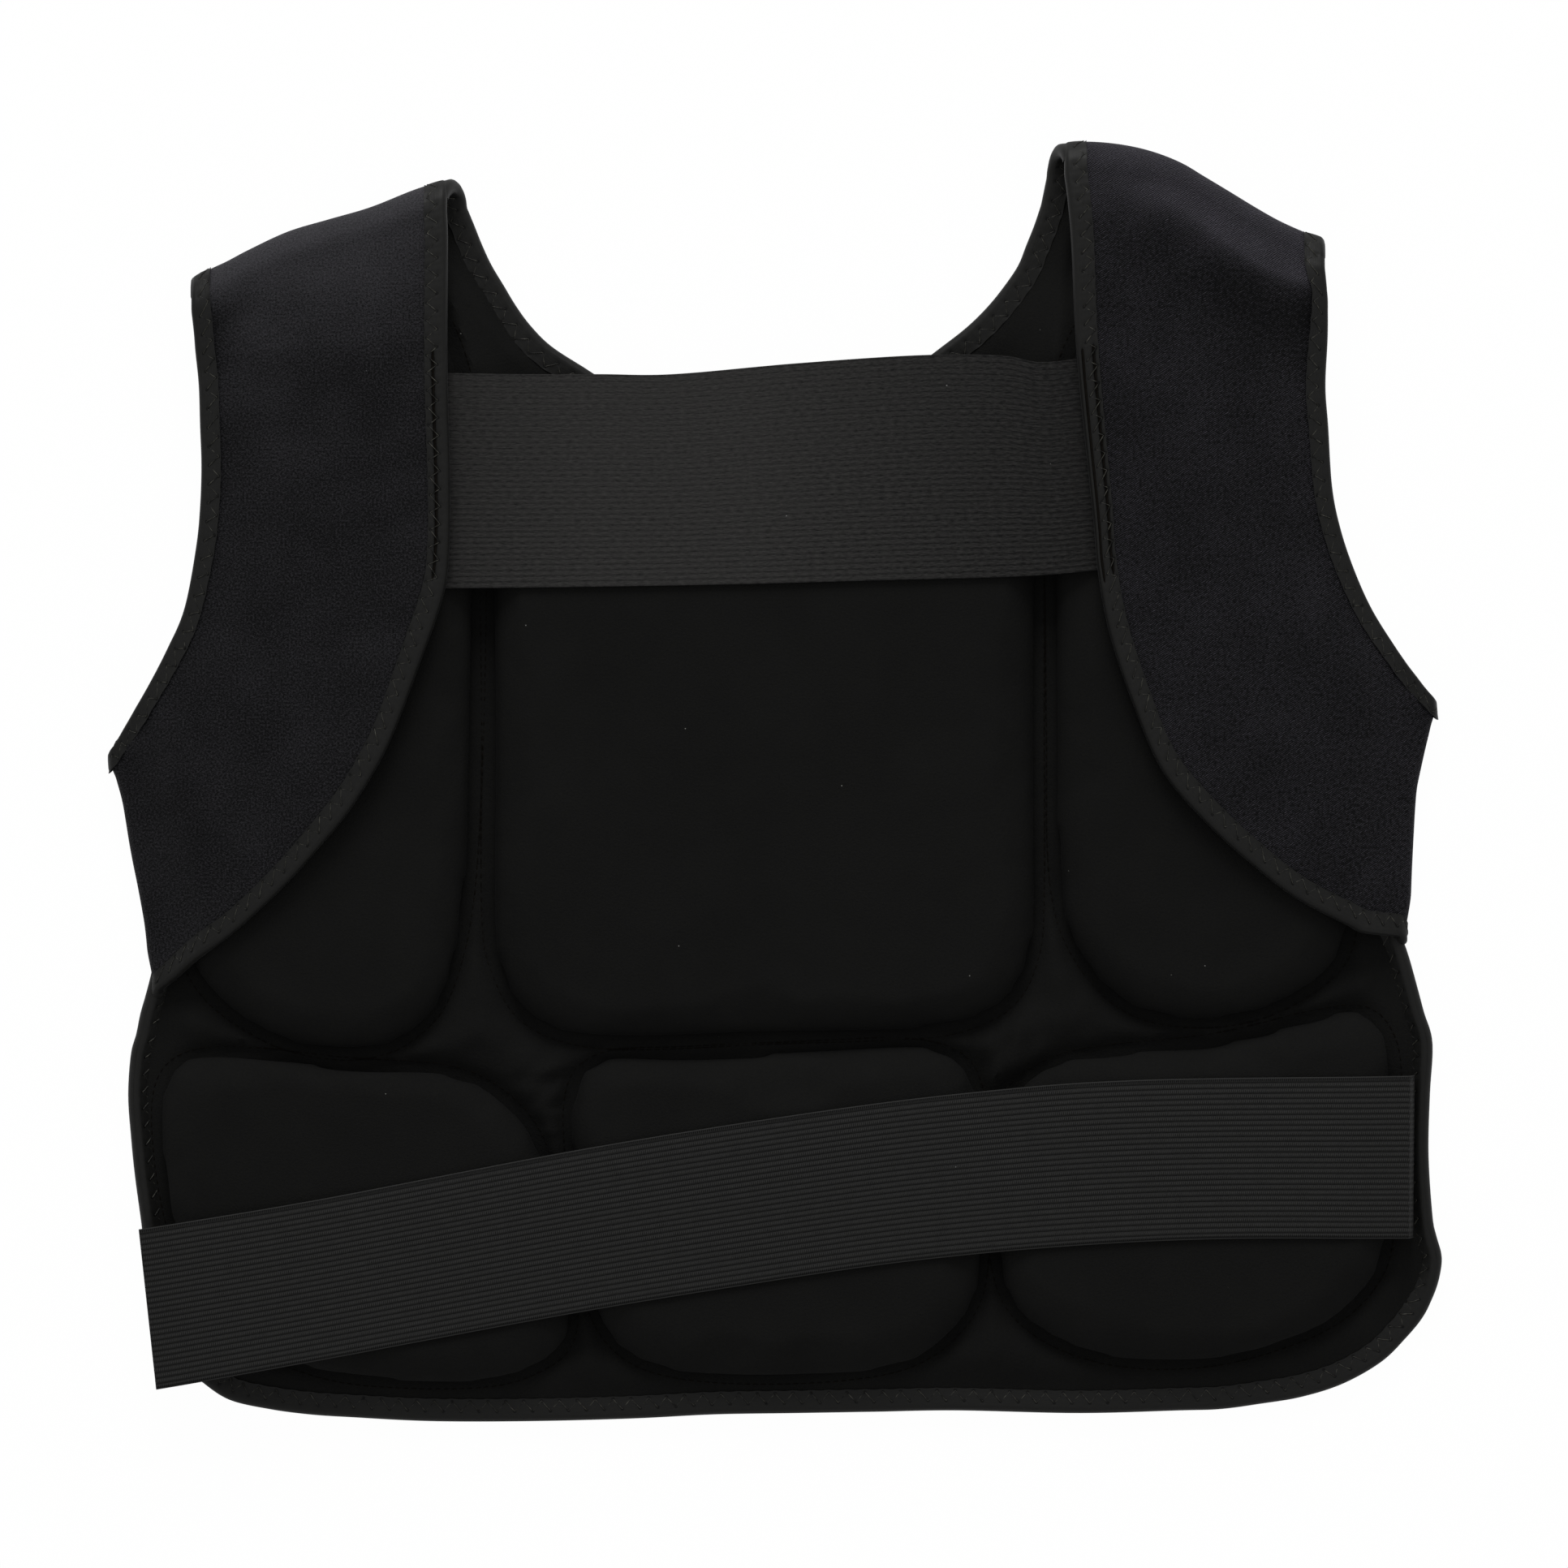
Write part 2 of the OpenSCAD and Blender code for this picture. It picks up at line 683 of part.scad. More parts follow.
module yoke_binding(side, inner) {
  color("#2a2a2b") tape(yoke_marks(side, inner), yoke_slot + fit_gap, inner == (side == left));
}

// ---- Elastics ----

band_stations = 16;
module back_band() {
  inner_l = yoke_inner_edge(left);
  inner_r = yoke_inner_edge(right);
  // Ends of the band's threads from its lower to its upper edge.
  ends = [
    for (s = [0, 0.5, 1])
      let(h = at(band_h + s * band_w), y_l = laid([-yoke_line_x, h]).y, y_r = laid([yoke_line_x, h]).y)
        [at_height(inner_l, y_l) + [2 * fit_gap, 0], at_height(inner_r, y_r) - [2 * fit_gap, 0]]
  ];
  z = lining_top_z + lay_gap;
  rings = [
    for (k = [0 : band_stations])
      let(
        t = k / band_stations,
        low = ends[0][0] + t * (ends[0][1] - ends[0][0]),
        mid = ends[1][0] + t * (ends[1][1] - ends[1][0]),
        top = ends[2][0] + t * (ends[2][1] - ends[2][0]),
        swell = 1.2 * sin(180 * t)
      ) [
        [low.x, low.y, z], [mid.x, mid.y, z + swell], [top.x, top.y, z + 0.4 * swell],
        [top.x, top.y, z + 0.4 * swell + elastic_t], [mid.x, mid.y, z + swell + elastic_t],
        [low.x, low.y, z + elastic_t]
      ]
  ];
  color("#2a2929") skin(rings, true);
}

// Where a path crosses a height.
function at_height(path, y) = [
  for (i = [0 : len(path) - 2])
    if ((path[i].y - y) * (path[i + 1].y - y) <= 0 && path[i].y != path[i + 1].y)
      path[i] + (path[i + 1] - path[i]) * (y - path[i].y) / (path[i + 1].y - path[i].y)
][0];

// The waist strap's middle line: level at its sewn end, then falling.
strap_start_x = belly_w / 2 - binding_w + lay_shift;
strap_y = at(strap_h);
strap_bend_x = 150;
// It bends over its first third past the bend, then runs straight.
strap_bend = 0.35;
function strap_mid(x) =
  let(
    t = max(0, (strap_bend_x - x) / (strap_bend_x + strap_reach)),
    fall = t < strap_bend ? t * t / (2 * strap_bend) : t - strap_bend / 2
  ) [x, strap_y - strap_drop * fall / (1 - strap_bend / 2)];
strap_climb = 12;
strap_sewn_z = edge_top_z + lay_gap;
strap_flat_z = lining_top_z + lay_gap;
function strap_z(x) =
  strap_sewn_z + (strap_flat_z - strap_sewn_z) * eased((strap_start_x - x) / strap_climb)
  + hook_t * eased((x_of_hook - x) / 20);
x_of_hook = hook_l - strap_reach + 50;
function strap_across(x) =
  let(d = unit(strap_mid(x + 1) - strap_mid(x - 1))) turned(d);

strap_xs = concat(
  [for (k = [0 : 4]) strap_start_x - strap_climb * k / 4],
  [for (k = [1 : 18]) strap_start_x - strap_climb
    - (strap_start_x - strap_climb + strap_reach) * k / 18]
);
module waist_strap() {
  rings = [
    for (x = reversed(strap_xs))
      let(
        m = strap_mid(x),
        a = strap_across(x) * strap_w / 2,
        z = strap_z(x)
      ) [
        [m.x - a.x, m.y - a.y, z], [m.x + a.x, m.y + a.y, z],
        [m.x + a.x, m.y + a.y, z + elastic_t], [m.x - a.x, m.y - a.y, z + elastic_t]
      ]
  ];
  color("#212121") skin(rings, true);
}

hook_side = 3;
module hook_patch() {
  steps = 4;
  rings = [
    for (k = [0 : steps])
      let(
        x = -strap_reach + hook_side + hook_l * k / steps,
        m = strap_mid(x),
        a = strap_across(x) * (strap_w / 2 - hook_side),
        z = strap_flat_z
      ) [
        [m.x - a.x, m.y - a.y, z], [m.x + a.x, m.y + a.y, z],
        [m.x + a.x, m.y + a.y, z + hook_t], [m.x - a.x, m.y - a.y, z + hook_t]
      ]
  ];
  color("#151515") skin(rings, true);
}

loop_corner = [1.5 - hem_side_x, at(44)];
function loop_outline(extra) =
  let(a = loop_corner - [extra, extra], b = loop_corner + loop_patch + [extra, extra])
    [a, [b.x, a.y], b, [a.x, b.y]];
module loop_patch_cloth() {
  color("#191919") translate([0, 0, shell_z - emboss_t])
    linear_extrude(emboss_t) polygon(loop_outline(0));
}

outer_shell();
lining();
pad("centre_chest");  // centre_chest_pad
pad("left_chest");  // left_chest_pad
pad("right_chest");  // right_chest_pad
pad("left_belly");  // left_belly_pad
pad("centre_belly");  // centre_belly_pad
pad("right_belly");  // right_belly_pad
neck_binding();
armhole_binding(left);  // left_armhole_binding
armhole_binding(right);  // right_armhole_binding
hem_binding();
yoke(left);  // left_yoke
yoke(right);  // right_yoke
yoke_binding(left, true);  // left_yoke_inner_binding
yoke_binding(right, true);  // right_yoke_inner_binding
yoke_binding(left, false);  // left_yoke_arm_binding
yoke_binding(right, false);  // right_yoke_arm_binding
back_band();
waist_strap();
hook_patch();
loop_patch_cloth();  // loop_patch
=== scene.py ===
"""A padded chest protector, laid flat on its outer face with its lining up.

Points and sizes are in millimetres, turned to metres where a mesh is made.
"""
import math
from functools import partial

import bpy
import numpy as np
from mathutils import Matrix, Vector
from mathutils.geometry import delaunay_2d_cdt


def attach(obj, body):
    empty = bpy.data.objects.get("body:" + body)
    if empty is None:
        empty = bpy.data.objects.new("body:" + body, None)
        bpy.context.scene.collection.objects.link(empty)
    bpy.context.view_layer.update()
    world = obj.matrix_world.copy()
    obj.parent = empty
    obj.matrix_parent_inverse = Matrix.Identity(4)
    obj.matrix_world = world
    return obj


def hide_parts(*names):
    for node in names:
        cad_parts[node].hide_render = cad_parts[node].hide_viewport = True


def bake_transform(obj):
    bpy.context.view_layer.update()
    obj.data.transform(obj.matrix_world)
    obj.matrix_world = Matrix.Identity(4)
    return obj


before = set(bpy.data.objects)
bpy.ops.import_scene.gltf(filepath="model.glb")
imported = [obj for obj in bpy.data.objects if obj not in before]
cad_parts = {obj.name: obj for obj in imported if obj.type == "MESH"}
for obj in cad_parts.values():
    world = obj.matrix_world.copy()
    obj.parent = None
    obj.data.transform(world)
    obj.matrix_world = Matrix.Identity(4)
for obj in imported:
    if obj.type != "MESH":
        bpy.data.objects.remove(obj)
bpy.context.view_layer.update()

MM = 0.001
LEFT, RIGHT = -1, 1

# Cloths
NEOPRENE_T = 3.0
LINING_T = 1.0
EMBOSS_T = 0.8
SHELL_Z = 0.8
LINING_Z = SHELL_Z + NEOPRENE_T
WEB_TOP_Z = LINING_Z + LINING_T
PAD_TOP_Z = 17.9
PAD_SPREAD = 2.7
WEB_RISE = 6.0
# A pad's side: distance in from its outline, and share of its height
PAD_PROFILE = ((1.6, 0), (0.3, 0.08), (0.2, 0.28), (1.0, 0.5), (2.8, 0.69), (5.6, 0.83),
               (9.5, 0.93), (15.0, 1.0))
YOKE_TOP_Z = 22.1
BAND_Z = 18.3
SHOULDER_R = 10.65
SHOULDER_REACH = 1.1
SIDE_R = 4.45

# Edge binding: a folded tape sewn with a zigzag
TAPE_W = 8.6
TAPE_T = 0.8
TAPE_STEP = 0.95
# Places across each half of the tape, from its fold to its cut edge
TAPE_PLACES = (0, 0.25, 0.9, 1.7, 2.3, 2.9, 3.9, 4.8, 5.4, 6.0, 6.6, 7.2, 7.8, 8.3, TAPE_W)
FRONT_SLOT = 2.0
YOKE_SLOT = 1.65
EDGE_MID_Z = WEB_TOP_Z / 2 + 0.4
ZIGZAG = 6.7
STITCH_IN = 0.9
STITCH_MID = 3.9
THREAD_R = 0.17
THREAD_SIDES = 5
HOLE_R = 0.648
HOLE_DEPTH = 0.5
TAPE_PUCKER = 0.05
TAPE_SCALLOP = 0.012
# Radius of the dark cords laid along the tapes' creases as painted shade.
CREASE_SHADE_CORD_R = 0.5
CREASE = 1.5

# Jersey face of the neoprene: its slanting rows of loops
JERSEY_ROW = 0.62
JERSEY_SLANT = math.radians(32)

# Elastics
BAND_T = 1.5
BAND_W = 80
BAND_RIB = 2.1
BAND_RELIEF = 0.1
STRAP_RELIEF = 0.26
STRAP_RIBS = 30
STRAP_T = 1.2
STRAP_END_X = 239.0
STRAP_END_Z = 6.0
HOOK_T = 1.2
RIB_STEPS = 8
BAND_STEPS = 110

# The side edges curl up along the waist: by what angle, about a line how far in, and
# between which y
SIDE_ROLL = math.radians(46)
ROLL_IN = 0.75 * TAPE_W
WAIST = (-208, -46)

# ---- Lines of the vest as it lies, seen from above ----

SHOULDER = {
    LEFT: [
        (-121, 223.5), (-127.5, 222), (-135, 219.5), (-150, 213.5), (-165.5, 209), (-180.5, 204.5),
        (-195.5, 197.5), (-203, 193.5), (-210.5, 190), (-216, 186.5)],
    RIGHT: [
        (108, 237), (116.5, 238), (129, 237), (140.5, 234.5), (151.5, 230.3), (160.5, 225),
        (170, 219.3), (179, 213.8), (188, 208.7), (197, 204.6), (205, 201.5)],
}
ARMHOLE = {
    LEFT: [
        (-216, 186), (-215, 162.5), (-213.5, 147), (-213, 132), (-212.5, 117), (-213, 102),
        (-214.5, 87), (-219, 64), (-225.5, 49), (-233.5, 34), (-242.5, 19), (-248, 9)],
    RIGHT: [
        (205.5, 199.5), (206.5, 170), (205.5, 147), (206.5, 132), (208, 109.5), (211, 94.5),
        (216, 79.5), (223, 64), (232.5, 49), (238, 41.5), (247.5, 29)],
}
SIDE_FOLD = {
    LEFT: [
        (-248.5, 8), (-243.5, -4), (-239.5, -26.5), (-236.5, -41.5), (-234, -56.5), (-233, -71.5),
        (-233.5, -80)],
    RIGHT: [
        (248, 28), (245, 19), (241.5, 4), (240, -4), (239, -19), (238, -41.5), (238, -64)],
}
YOKE_INNER = {
    LEFT: [
        (-121, 223), (-120.5, 200), (-120.5, 152), (-119.5, 109.5), (-120, 82.5), (-122.5, 67),
        (-132, 40), (-142.5, 13), (-155, -8.5), (-167, -23.5), (-182, -40), (-200, -56.5),
        (-215, -67), (-225.5, -76.5), (-233, -84)],
    RIGHT: [
        (108.5, 237), (109, 218), (110.5, 200), (112.5, 158), (118.5, 97.5), (120, 79.5),
        (124.5, 55), (133.5, 28), (144, 4), (159.5, -14.5), (177.5, -31), (195.5, -44.5),
        (219.5, -56.5), (237, -65.5)],
}
NECK = [
    (-111.5, 207.5), (-108.5, 200), (-105, 192.5), (-100.5, 185), (-96, 177.5), (-90.5, 170),
    (-83, 162.5), (-71.5, 155), (-58, 147), (-37, 139.5), (-16, 136), (5.5, 136), (26.5, 141),
    (47.5, 151), (63.5, 162.5), (73, 170), (80.5, 177.5), (86.5, 185), (91.5, 192.5), (94.5, 200),
    (97.5, 207.5), (100, 215)]
HEM = [
    (-229, -60), (-230.5, -70), (-233, -80), (-235, -87), (-236.5, -94.5), (-238.5, -102),
    (-239.5, -117), (-238.5, -132), (-237, -147), (-234.5, -165.5), (-232, -186.5),
    (-227.5, -204.5), (-220.5, -218), (-213.5, -224), (-203, -230.9), (-188, -234.4),
    (-173, -236.4), (-158, -237.4), (-127.5, -238.9), (-90, -238.9), (-52, -237.9), (-22, -236.4),
    (8.5, -235.9), (38.5, -235.4), (68.5, -234.9), (114, -235.9), (152, -234.9), (167, -234.4),
    (182, -232.4), (197, -229.9), (212.5, -225), (227, -216.8), (236.5, -207.5), (242.5, -200),
    (246, -192.5), (248, -185), (248.5, -177.5), (246.5, -170), (245, -162.5), (243.5, -139.5),
    (244, -117), (245, -102), (244.5, -94.5), (242, -87), (240, -79.5), (237, -68.5), (234, -58),
    (233, -48)]
PADS = {
    "centre_chest_pad": [
        (-105, 109.5), (-105, 19), (-105, -50.5), (-101, -71.5), (-91.5, -87), (-73, -95),
        (-46, -96.5), (-1, -94.5), (44.5, -93), (68.5, -90.5), (87, -81.5), (95.5, -65.5),
        (97.5, -44.5), (97.5, 19), (97, 94.5), (91, 113), (75, 120.5), (44.5, 121), (-16, 119),
        (-76.5, 117), (-96, 115)],
    "left_chest_pad": [
        (-110.5, 121.5), (-110.5, 70), (-111.5, 19), (-113.5, -26.5), (-117, -56.5), (-124.5, -81),
        (-135, -93), (-145.5, -98.5), (-161, -100.5), (-182, -96.5), (-201.5, -86), (-214, -73),
        (-219, -56.5), (-219.5, -26.5), (-218.5, 1), (-210, 40), (-196, 97.5), (-183.5, 145.5),
        (-171.5, 164), (-152, 174.5), (-134, 178), (-127, 176), (-121.5, 168), (-115.5, 150)],
    "right_chest_pad": [
        (104, 121.5), (105, 70), (105.5, 19), (106.5, -35.5), (114, -62.5), (132, -82.5),
        (156.5, -88.5), (183.5, -84.5), (207.5, -70), (214.5, -53.5), (216, -23.5), (214.5, 4),
        (207.5, 31), (191, 97.5), (176, 155), (165.5, 171.5), (147, 178), (128, 178), (118, 172),
        (108.5, 152)],
    "left_belly_pad": [
        (-228, -132), (-226.5, -112.5), (-217, -104), (-197, -102.5), (-161, -106.5),
        (-121, -109.5), (-100.5, -119.5), (-88.5, -135), (-81, -162.5), (-76.5, -192.5),
        (-78, -209), (-90, -218), (-106.5, -222.5), (-136.5, -223), (-167, -219.5), (-194, -208),
        (-214, -189.5), (-223.5, -162.5)],
    "centre_belly_pad": [
        (-74.5, -120), (-64, -105), (-31, -102.5), (14.5, -100.5), (50.5, -99.5), (70, -105.5),
        (76.5, -123), (78, -147), (77, -177.5), (73, -195.5), (59.5, -210.5), (38.5, -218.5),
        (-1, -221.5), (-37, -219), (-56.5, -210.5), (-67, -192.5), (-71.5, -162.5)],
    "right_belly_pad": [
        (88.5, -120), (100.5, -108.5), (120, -102.5), (165.5, -97.5), (201.5, -89), (220.5, -87.5),
        (229, -97.5), (231, -114), (230.5, -138), (228.5, -162.5), (225.5, -180.5), (214, -195.5),
        (195.5, -206), (165.5, -214.5), (135, -215.5), (111, -210), (93.5, -199), (85.5, -183.5),
        (83, -153.5)],
}
BAND_LOW = [(-124, 71.5), (-76.5, 72), (-16, 73), (38.5, 74.5), (93, 76), (123.5, 78.5)]
BAND_TOP = [
    (-124, 151.5), (-94.5, 151), (-64, 151), (-37, 151), (8.5, 155), (53.5, 158), (84, 158),
    (99, 155.5), (115.5, 157)]
STRAP_TOP = [
    (239, -109.5), (135, -111), (74.5, -115.5), (14.5, -123), (-70, -136.5), (-167, -155),
    (-235.5, -166.5)]
STRAP_LOW = [
    (238.5, -170), (165.5, -170), (105, -173), (44.5, -179), (-16, -188), (-76.5, -198),
    (-152, -212), (-229, -226)]
# Crest of the pulled fold that runs down the right yoke from the shoulder
CREST = [(156.5, 217), (164, 206), (172.5, 196), (185.5, 188.5), (200, 184)]
# A soft fold down each yoke: its line, height and half width
YOKE_FOLDS = {LEFT: ([(-190, 175), (-180, 110), (-200, 20)], 0.7, 16),
              RIGHT: ([(118, 205), (128, 150), (150, 95)], 0.5, 14)}
# Folds of the lining run down beside the left yoke and the right one.
NECK_FOLDS = [[(-122, 194), (-118, 187), (-110, 176.5), (-101, 164), (-92, 153)],
              [(-121, 186), (-117, 172), (-112, 155), (-110, 140)],
              [(113, 214), (108, 192), (106, 170), (105, 145)]]
LOOP_PATCH = [(-220.5, -192), (-175.5, -110)]
HOOK_SPAN = (-229.0, -159.0)

# ---- Small shape helpers ----


def unit(v):
    return v / np.maximum(np.linalg.norm(v, axis=-1, keepdims=True), 1e-9)


def turned(v):
    return np.stack([-v[..., 1], v[..., 0]], axis=-1)


def run_along(line):
    """Distance of each point of a line from its start."""
    return np.concatenate([[0], np.cumsum(np.linalg.norm(np.diff(line, axis=0), axis=1))])


def read_at(at, run, values):
    """The values of a line's points, read at other places along its run."""
    return np.stack([np.interp(at, run, column) for column in values.T], axis=-1)


def resample(line, step, extra=()):
    """The line as equal steps, with any extra values carried along it."""
    run = run_along(line)
    count = max(2, round(run[-1] / step) + 1) if step > 0 else int(-step)
    at = np.linspace(0, run[-1], count)
    pick = [read_at(at, run, values) for values in (line, *extra)]
    return pick if extra else pick[0]


def smooth_line(points, step, closed=False):
    """A smooth line through the points. A negative step gives the number of points."""
    p = np.array(points, float)
    ends = (p[-1:], p[:2]) if closed else (2 * p[:1] - p[1:2], 2 * p[-1:] - p[-2:-1])
    a = np.vstack([ends[0], p, ends[1]])
    t = np.linspace(0, 1, 13)[:-1, None]
    spans = []
    for p0, p1, p2, p3 in zip(a[:-3], a[1:-2], a[2:-1], a[3:]):
        spans.append(p1 + 0.5 * t * (p2 - p0 + t * (2 * p0 - 5 * p1 + 4 * p2 - p3
                                                    + t * (3 * (p1 - p2) + p3 - p0))))
    dense = np.vstack(spans + [p[:1] if closed else p[-1:]])
    line = resample(dense, step)
    return line[:-1] if closed else line


def tangents(line):
    return unit(np.gradient(line, axis=0))


def beside(line, distance):
    """The flat line moved to its left, by one distance or one for each point."""
    return line + np.asarray(distance).reshape(-1, 1) * turned(tangents(line))


def eased(t):
    t = np.clip(t, 0, 1)
    return t * t * (3 - 2 * t)


def gap_to(line, xy):
    """Distance of each point from a line."""
    best = np.full(len(xy), np.inf)
    for p, d in zip(line[:-1], np.diff(line, axis=0)):
        t = np.clip((xy - p) @ d / max(d @ d, 1e-9), 0, 1)
        best = np.minimum(best, np.linalg.norm(xy - p - t[:, None] * d, axis=1))
    return best


def closed_loop(loop):
    return np.vstack([loop, loop[:1]])


def inside(loop, xy):
    x, y = xy.T
    flag = np.zeros(len(xy), bool)
    for (x0, y0), (x1, y1) in zip(loop, np.roll(loop, -1, axis=0)):
        if y0 != y1:
            flag ^= ((y0 > y) != (y1 > y)) & (x < (x1 - x0) * (y - y0) / (y1 - y0) + x0)
    return flag


def depth_in(loop, xy):
    """How far inside a loop each point is; negative outside."""
    return np.where(inside(loop, xy), 1, -1) * gap_to(closed_loop(loop), xy)


def ripple(xy, size, seed):
    """Smooth unevenness between about -1 and 1, with waves of about the given size."""
    rng = np.random.default_rng(seed)
    total = np.zeros(len(xy))
    for _ in range(7):
        angle, phase = rng.uniform(0, 2 * math.pi, 2)
        wave = 2 * math.pi / (size * rng.uniform(0.7, 1.5))
        total += np.sin(wave * (xy @ np.array([math.cos(angle), math.sin(angle)])) + phase)
    return total / 3.5


def near_line(xy, line, step=2.0):
    """Gap of each point to a smooth line, its place along it, and whether it lies left."""
    path = smooth_line(line, step)
    gaps = np.linalg.norm(xy[:, None] - path[None], axis=2)
    near = gaps.argmin(axis=1)
    left = ((xy - path[near]) * turned(tangents(path))[near]).sum(axis=1) > 0
    return gaps.min(axis=1), near * step, (len(path) - 1) * step, left


def fold_line(xy, line, half_width, fade_in=12, fade_out=30):
    """A soft ridge of height 1 along a line, fading at both its ends."""
    gap, run, length, _ = near_line(xy, line)
    return (np.exp(-(gap / half_width) ** 2) * eased(run / fade_in)
            * eased((length - run) / fade_out + 0.05))


def ridge(xy, line, left_width, right_width):
    """A ridge of height 1 along a line, with its own width to the left and to the right."""
    gap, _, _, left = near_line(xy, line)
    return np.exp(-(gap / np.where(left, left_width, right_width)) ** 1.4)


# ---- Meshes ----


def net_faces(rows, cols, wrap=False):
    index = np.arange(rows * cols).reshape(rows, cols)
    if wrap:
        index = np.hstack([index, index[:, :1]])
    return np.stack([index[:-1, :-1], index[:-1, 1:], index[1:, 1:], index[1:, :-1]],
                    axis=-1).reshape(-1, 4)


def net_normals(net):
    across = np.gradient(net, axis=1)
    down = np.gradient(net, axis=0)
    return unit(np.cross(across, down))


def cloth_part(top, low, uv):
    """A closed sheet between two matching nets of points."""
    rows, cols = top.shape[:2]
    count = rows * cols
    index = np.arange(count).reshape(rows, cols)
    faces = net_faces(rows, cols)
    rim = np.concatenate([index[0], index[1:, -1], index[-1, -2::-1], index[-2:0:-1, 0]])
    ahead = np.roll(rim, -1)
    faces = np.vstack([faces, faces[:, ::-1] + count,
                       np.stack([ahead, rim, rim + count, ahead + count], axis=1)])
    points = np.vstack([top.reshape(-1, 3), low.reshape(-1, 3)])
    return points, faces.tolist(), np.vstack([uv.reshape(-1, 2)] * 2), 0


def slab_part(xy, triangles, top_z, low_z):
    """A closed sheet over flat triangles, with a height for each point."""
    count = len(xy)
    points = np.vstack([np.column_stack([xy, top_z]), np.column_stack([xy, low_z])])
    edges = {(t[i], t[i - 2]) for t in triangles for i in range(3)}
    faces = [tuple(t) for t in triangles]
    faces += [(c + count, b + count, a + count) for a, b, c in triangles]
    faces += [(b, a, a + count, b + count) for a, b in edges if (b, a) not in edges]
    return points, faces, np.vstack([xy, xy]), 0


def filled(outline, spacing):
    """Points and triangles of an even net that fills an outline."""
    low, high = outline.min(axis=0), outline.max(axis=0)
    xs = np.arange(low[0], high[0], spacing)
    ys = np.arange(low[1], high[1], spacing * 0.866)
    x, y = np.meshgrid(xs, ys)
    x[1::2] += spacing / 2
    net = np.column_stack([x.ravel(), y.ravel()])
    net = net[inside(outline, net)]
    net = net[gap_to(closed_loop(outline), net) > 0.5 * spacing]
    points = np.vstack([outline, net])
    rim = list(range(len(outline)))
    out = delaunay_2d_cdt([Vector(p) for p in points], [], [rim], 1, 1e-4)
    xy = np.array([(v.x, v.y) for v in out[0]])
    triangles = []
    for face in out[2]:
        a, b, c = (xy[i] for i in face)
        area = (b[0] - a[0]) * (c[1] - a[1]) - (b[1] - a[1]) * (c[0] - a[0])
        triangles.append(tuple(face) if area > 0 else tuple(face)[::-1])
    return xy, triangles


def signed_volume(points, faces):
    """Negative where the faces of a closed part look inwards."""
    quads = np.array([list(f[:4]) if len(f) > 3 else [*f, f[-1]] for f in faces])
    a, b, c, d = (points[quads[:, k]] for k in range(4))
    return float(np.einsum("ij,ij->i", a, np.cross(b, c) + np.cross(c, d)).sum())


def make_piece(name, parts, finishes, sharp=50):
    """One mesh object from closed parts: points, faces, thread directions and finish."""
    points, faces, uvs, finish = [], [], [], []
    start = 0
    for part_points, part_faces, part_uv, part_finish in parts:
        if signed_volume(part_points, part_faces) < 0:
            part_faces = [tuple(f)[::-1] for f in part_faces]
        points.append(part_points)
        uvs.append(part_uv)
        faces += [[i + start for i in f] for f in part_faces]
        finish += [part_finish] * len(part_faces)
        start += len(part_points)
    mesh = bpy.data.meshes.new(name)
    mesh.from_pydata((np.vstack(points) * MM).tolist(), [], faces)
    loops = np.empty(len(mesh.loops), dtype=np.int32)
    mesh.loops.foreach_get("vertex_index", loops)
    uv_map = mesh.uv_layers.new(name="threads")
    uv_map.data.foreach_set("uv", (np.vstack(uvs) * MM)[loops].ravel())
    mesh.polygons.foreach_set("material_index", finish)
    mesh.polygons.foreach_set("use_smooth", [True] * len(mesh.polygons))
    mesh.set_sharp_from_angle(angle=math.radians(sharp))
    for material in finishes:
        mesh.materials.append(material)
    mesh.update()
    piece = bpy.data.objects.new(name, mesh)
    bpy.context.scene.collection.objects.link(piece)
    return piece


# ---- Finishes ----


def colour(hex_value):
    """An sRGB hex colour as linear RGBA."""
    channels = [int(hex_value[i:i + 2], 16) / 255 for i in (1, 3, 5)]
    return [c / 12.92 if c <= 0.04045 else ((c + 0.055) / 1.055) ** 2.4 for c in channels] + [1.0]


def add_node(tree, kind, *values, inputs=None, **settings):
    """One node with its settings. values fill its sockets in order, inputs by name or number."""
    node = tree.nodes.new("ShaderNode" + kind)
    for key, value in settings.items():
        setattr(node, key, value)
    for key, value in [*enumerate(values), *(inputs or {}).items()]:
        if isinstance(value, bpy.types.Node):
            value = value.outputs[0]
        if isinstance(value, bpy.types.NodeSocket):
            tree.links.new(value, node.inputs[key])
        else:
            node.inputs[key].default_value = value
    return node


def cleared(owner):
    """The owner's nodes taken out, and the call that adds new ones."""
    owner.use_nodes = True
    owner.node_tree.nodes.clear()
    return partial(add_node, owner.node_tree)


def blank_finish(name):
    material = bpy.data.materials.new(name)
    return material, cleared(material)


def close_finish(add, tone, dark, light, height, lift, roughness, sheen, sheen_tint, specular,
                 specks=None):
    """The cloth's own shader: two colours by tone, specks on them, relief of the threads, nap.

    lift is the relief in millimetres; specks are a mask, its strength and its colour."""
    ramp = add("ValToRGB", tone)
    for stop, shade in zip(ramp.color_ramp.elements, (dark, light)):
        stop.color = colour(shade)
    base = ramp.outputs[0]
    if specks:
        mask, strength, shade = specks
        weight = add("Math", mask, strength, operation="MULTIPLY")
        base = add("Mix", inputs={0: weight, 6: base, 7: colour(shade)},
                   data_type="RGBA").outputs[2]
    bump = add("Bump", inputs={"Height": height, "Strength": 1.0, "Distance": lift * MM})
    cloth = add("BsdfPrincipled", inputs={
        "Base Color": base, "Roughness": roughness, "Specular IOR Level": specular,
        "Sheen Weight": sheen, "Sheen Roughness": 0.3, "Sheen Tint": colour(sheen_tint),
        "Normal": bump})
    add("OutputMaterial", cloth)


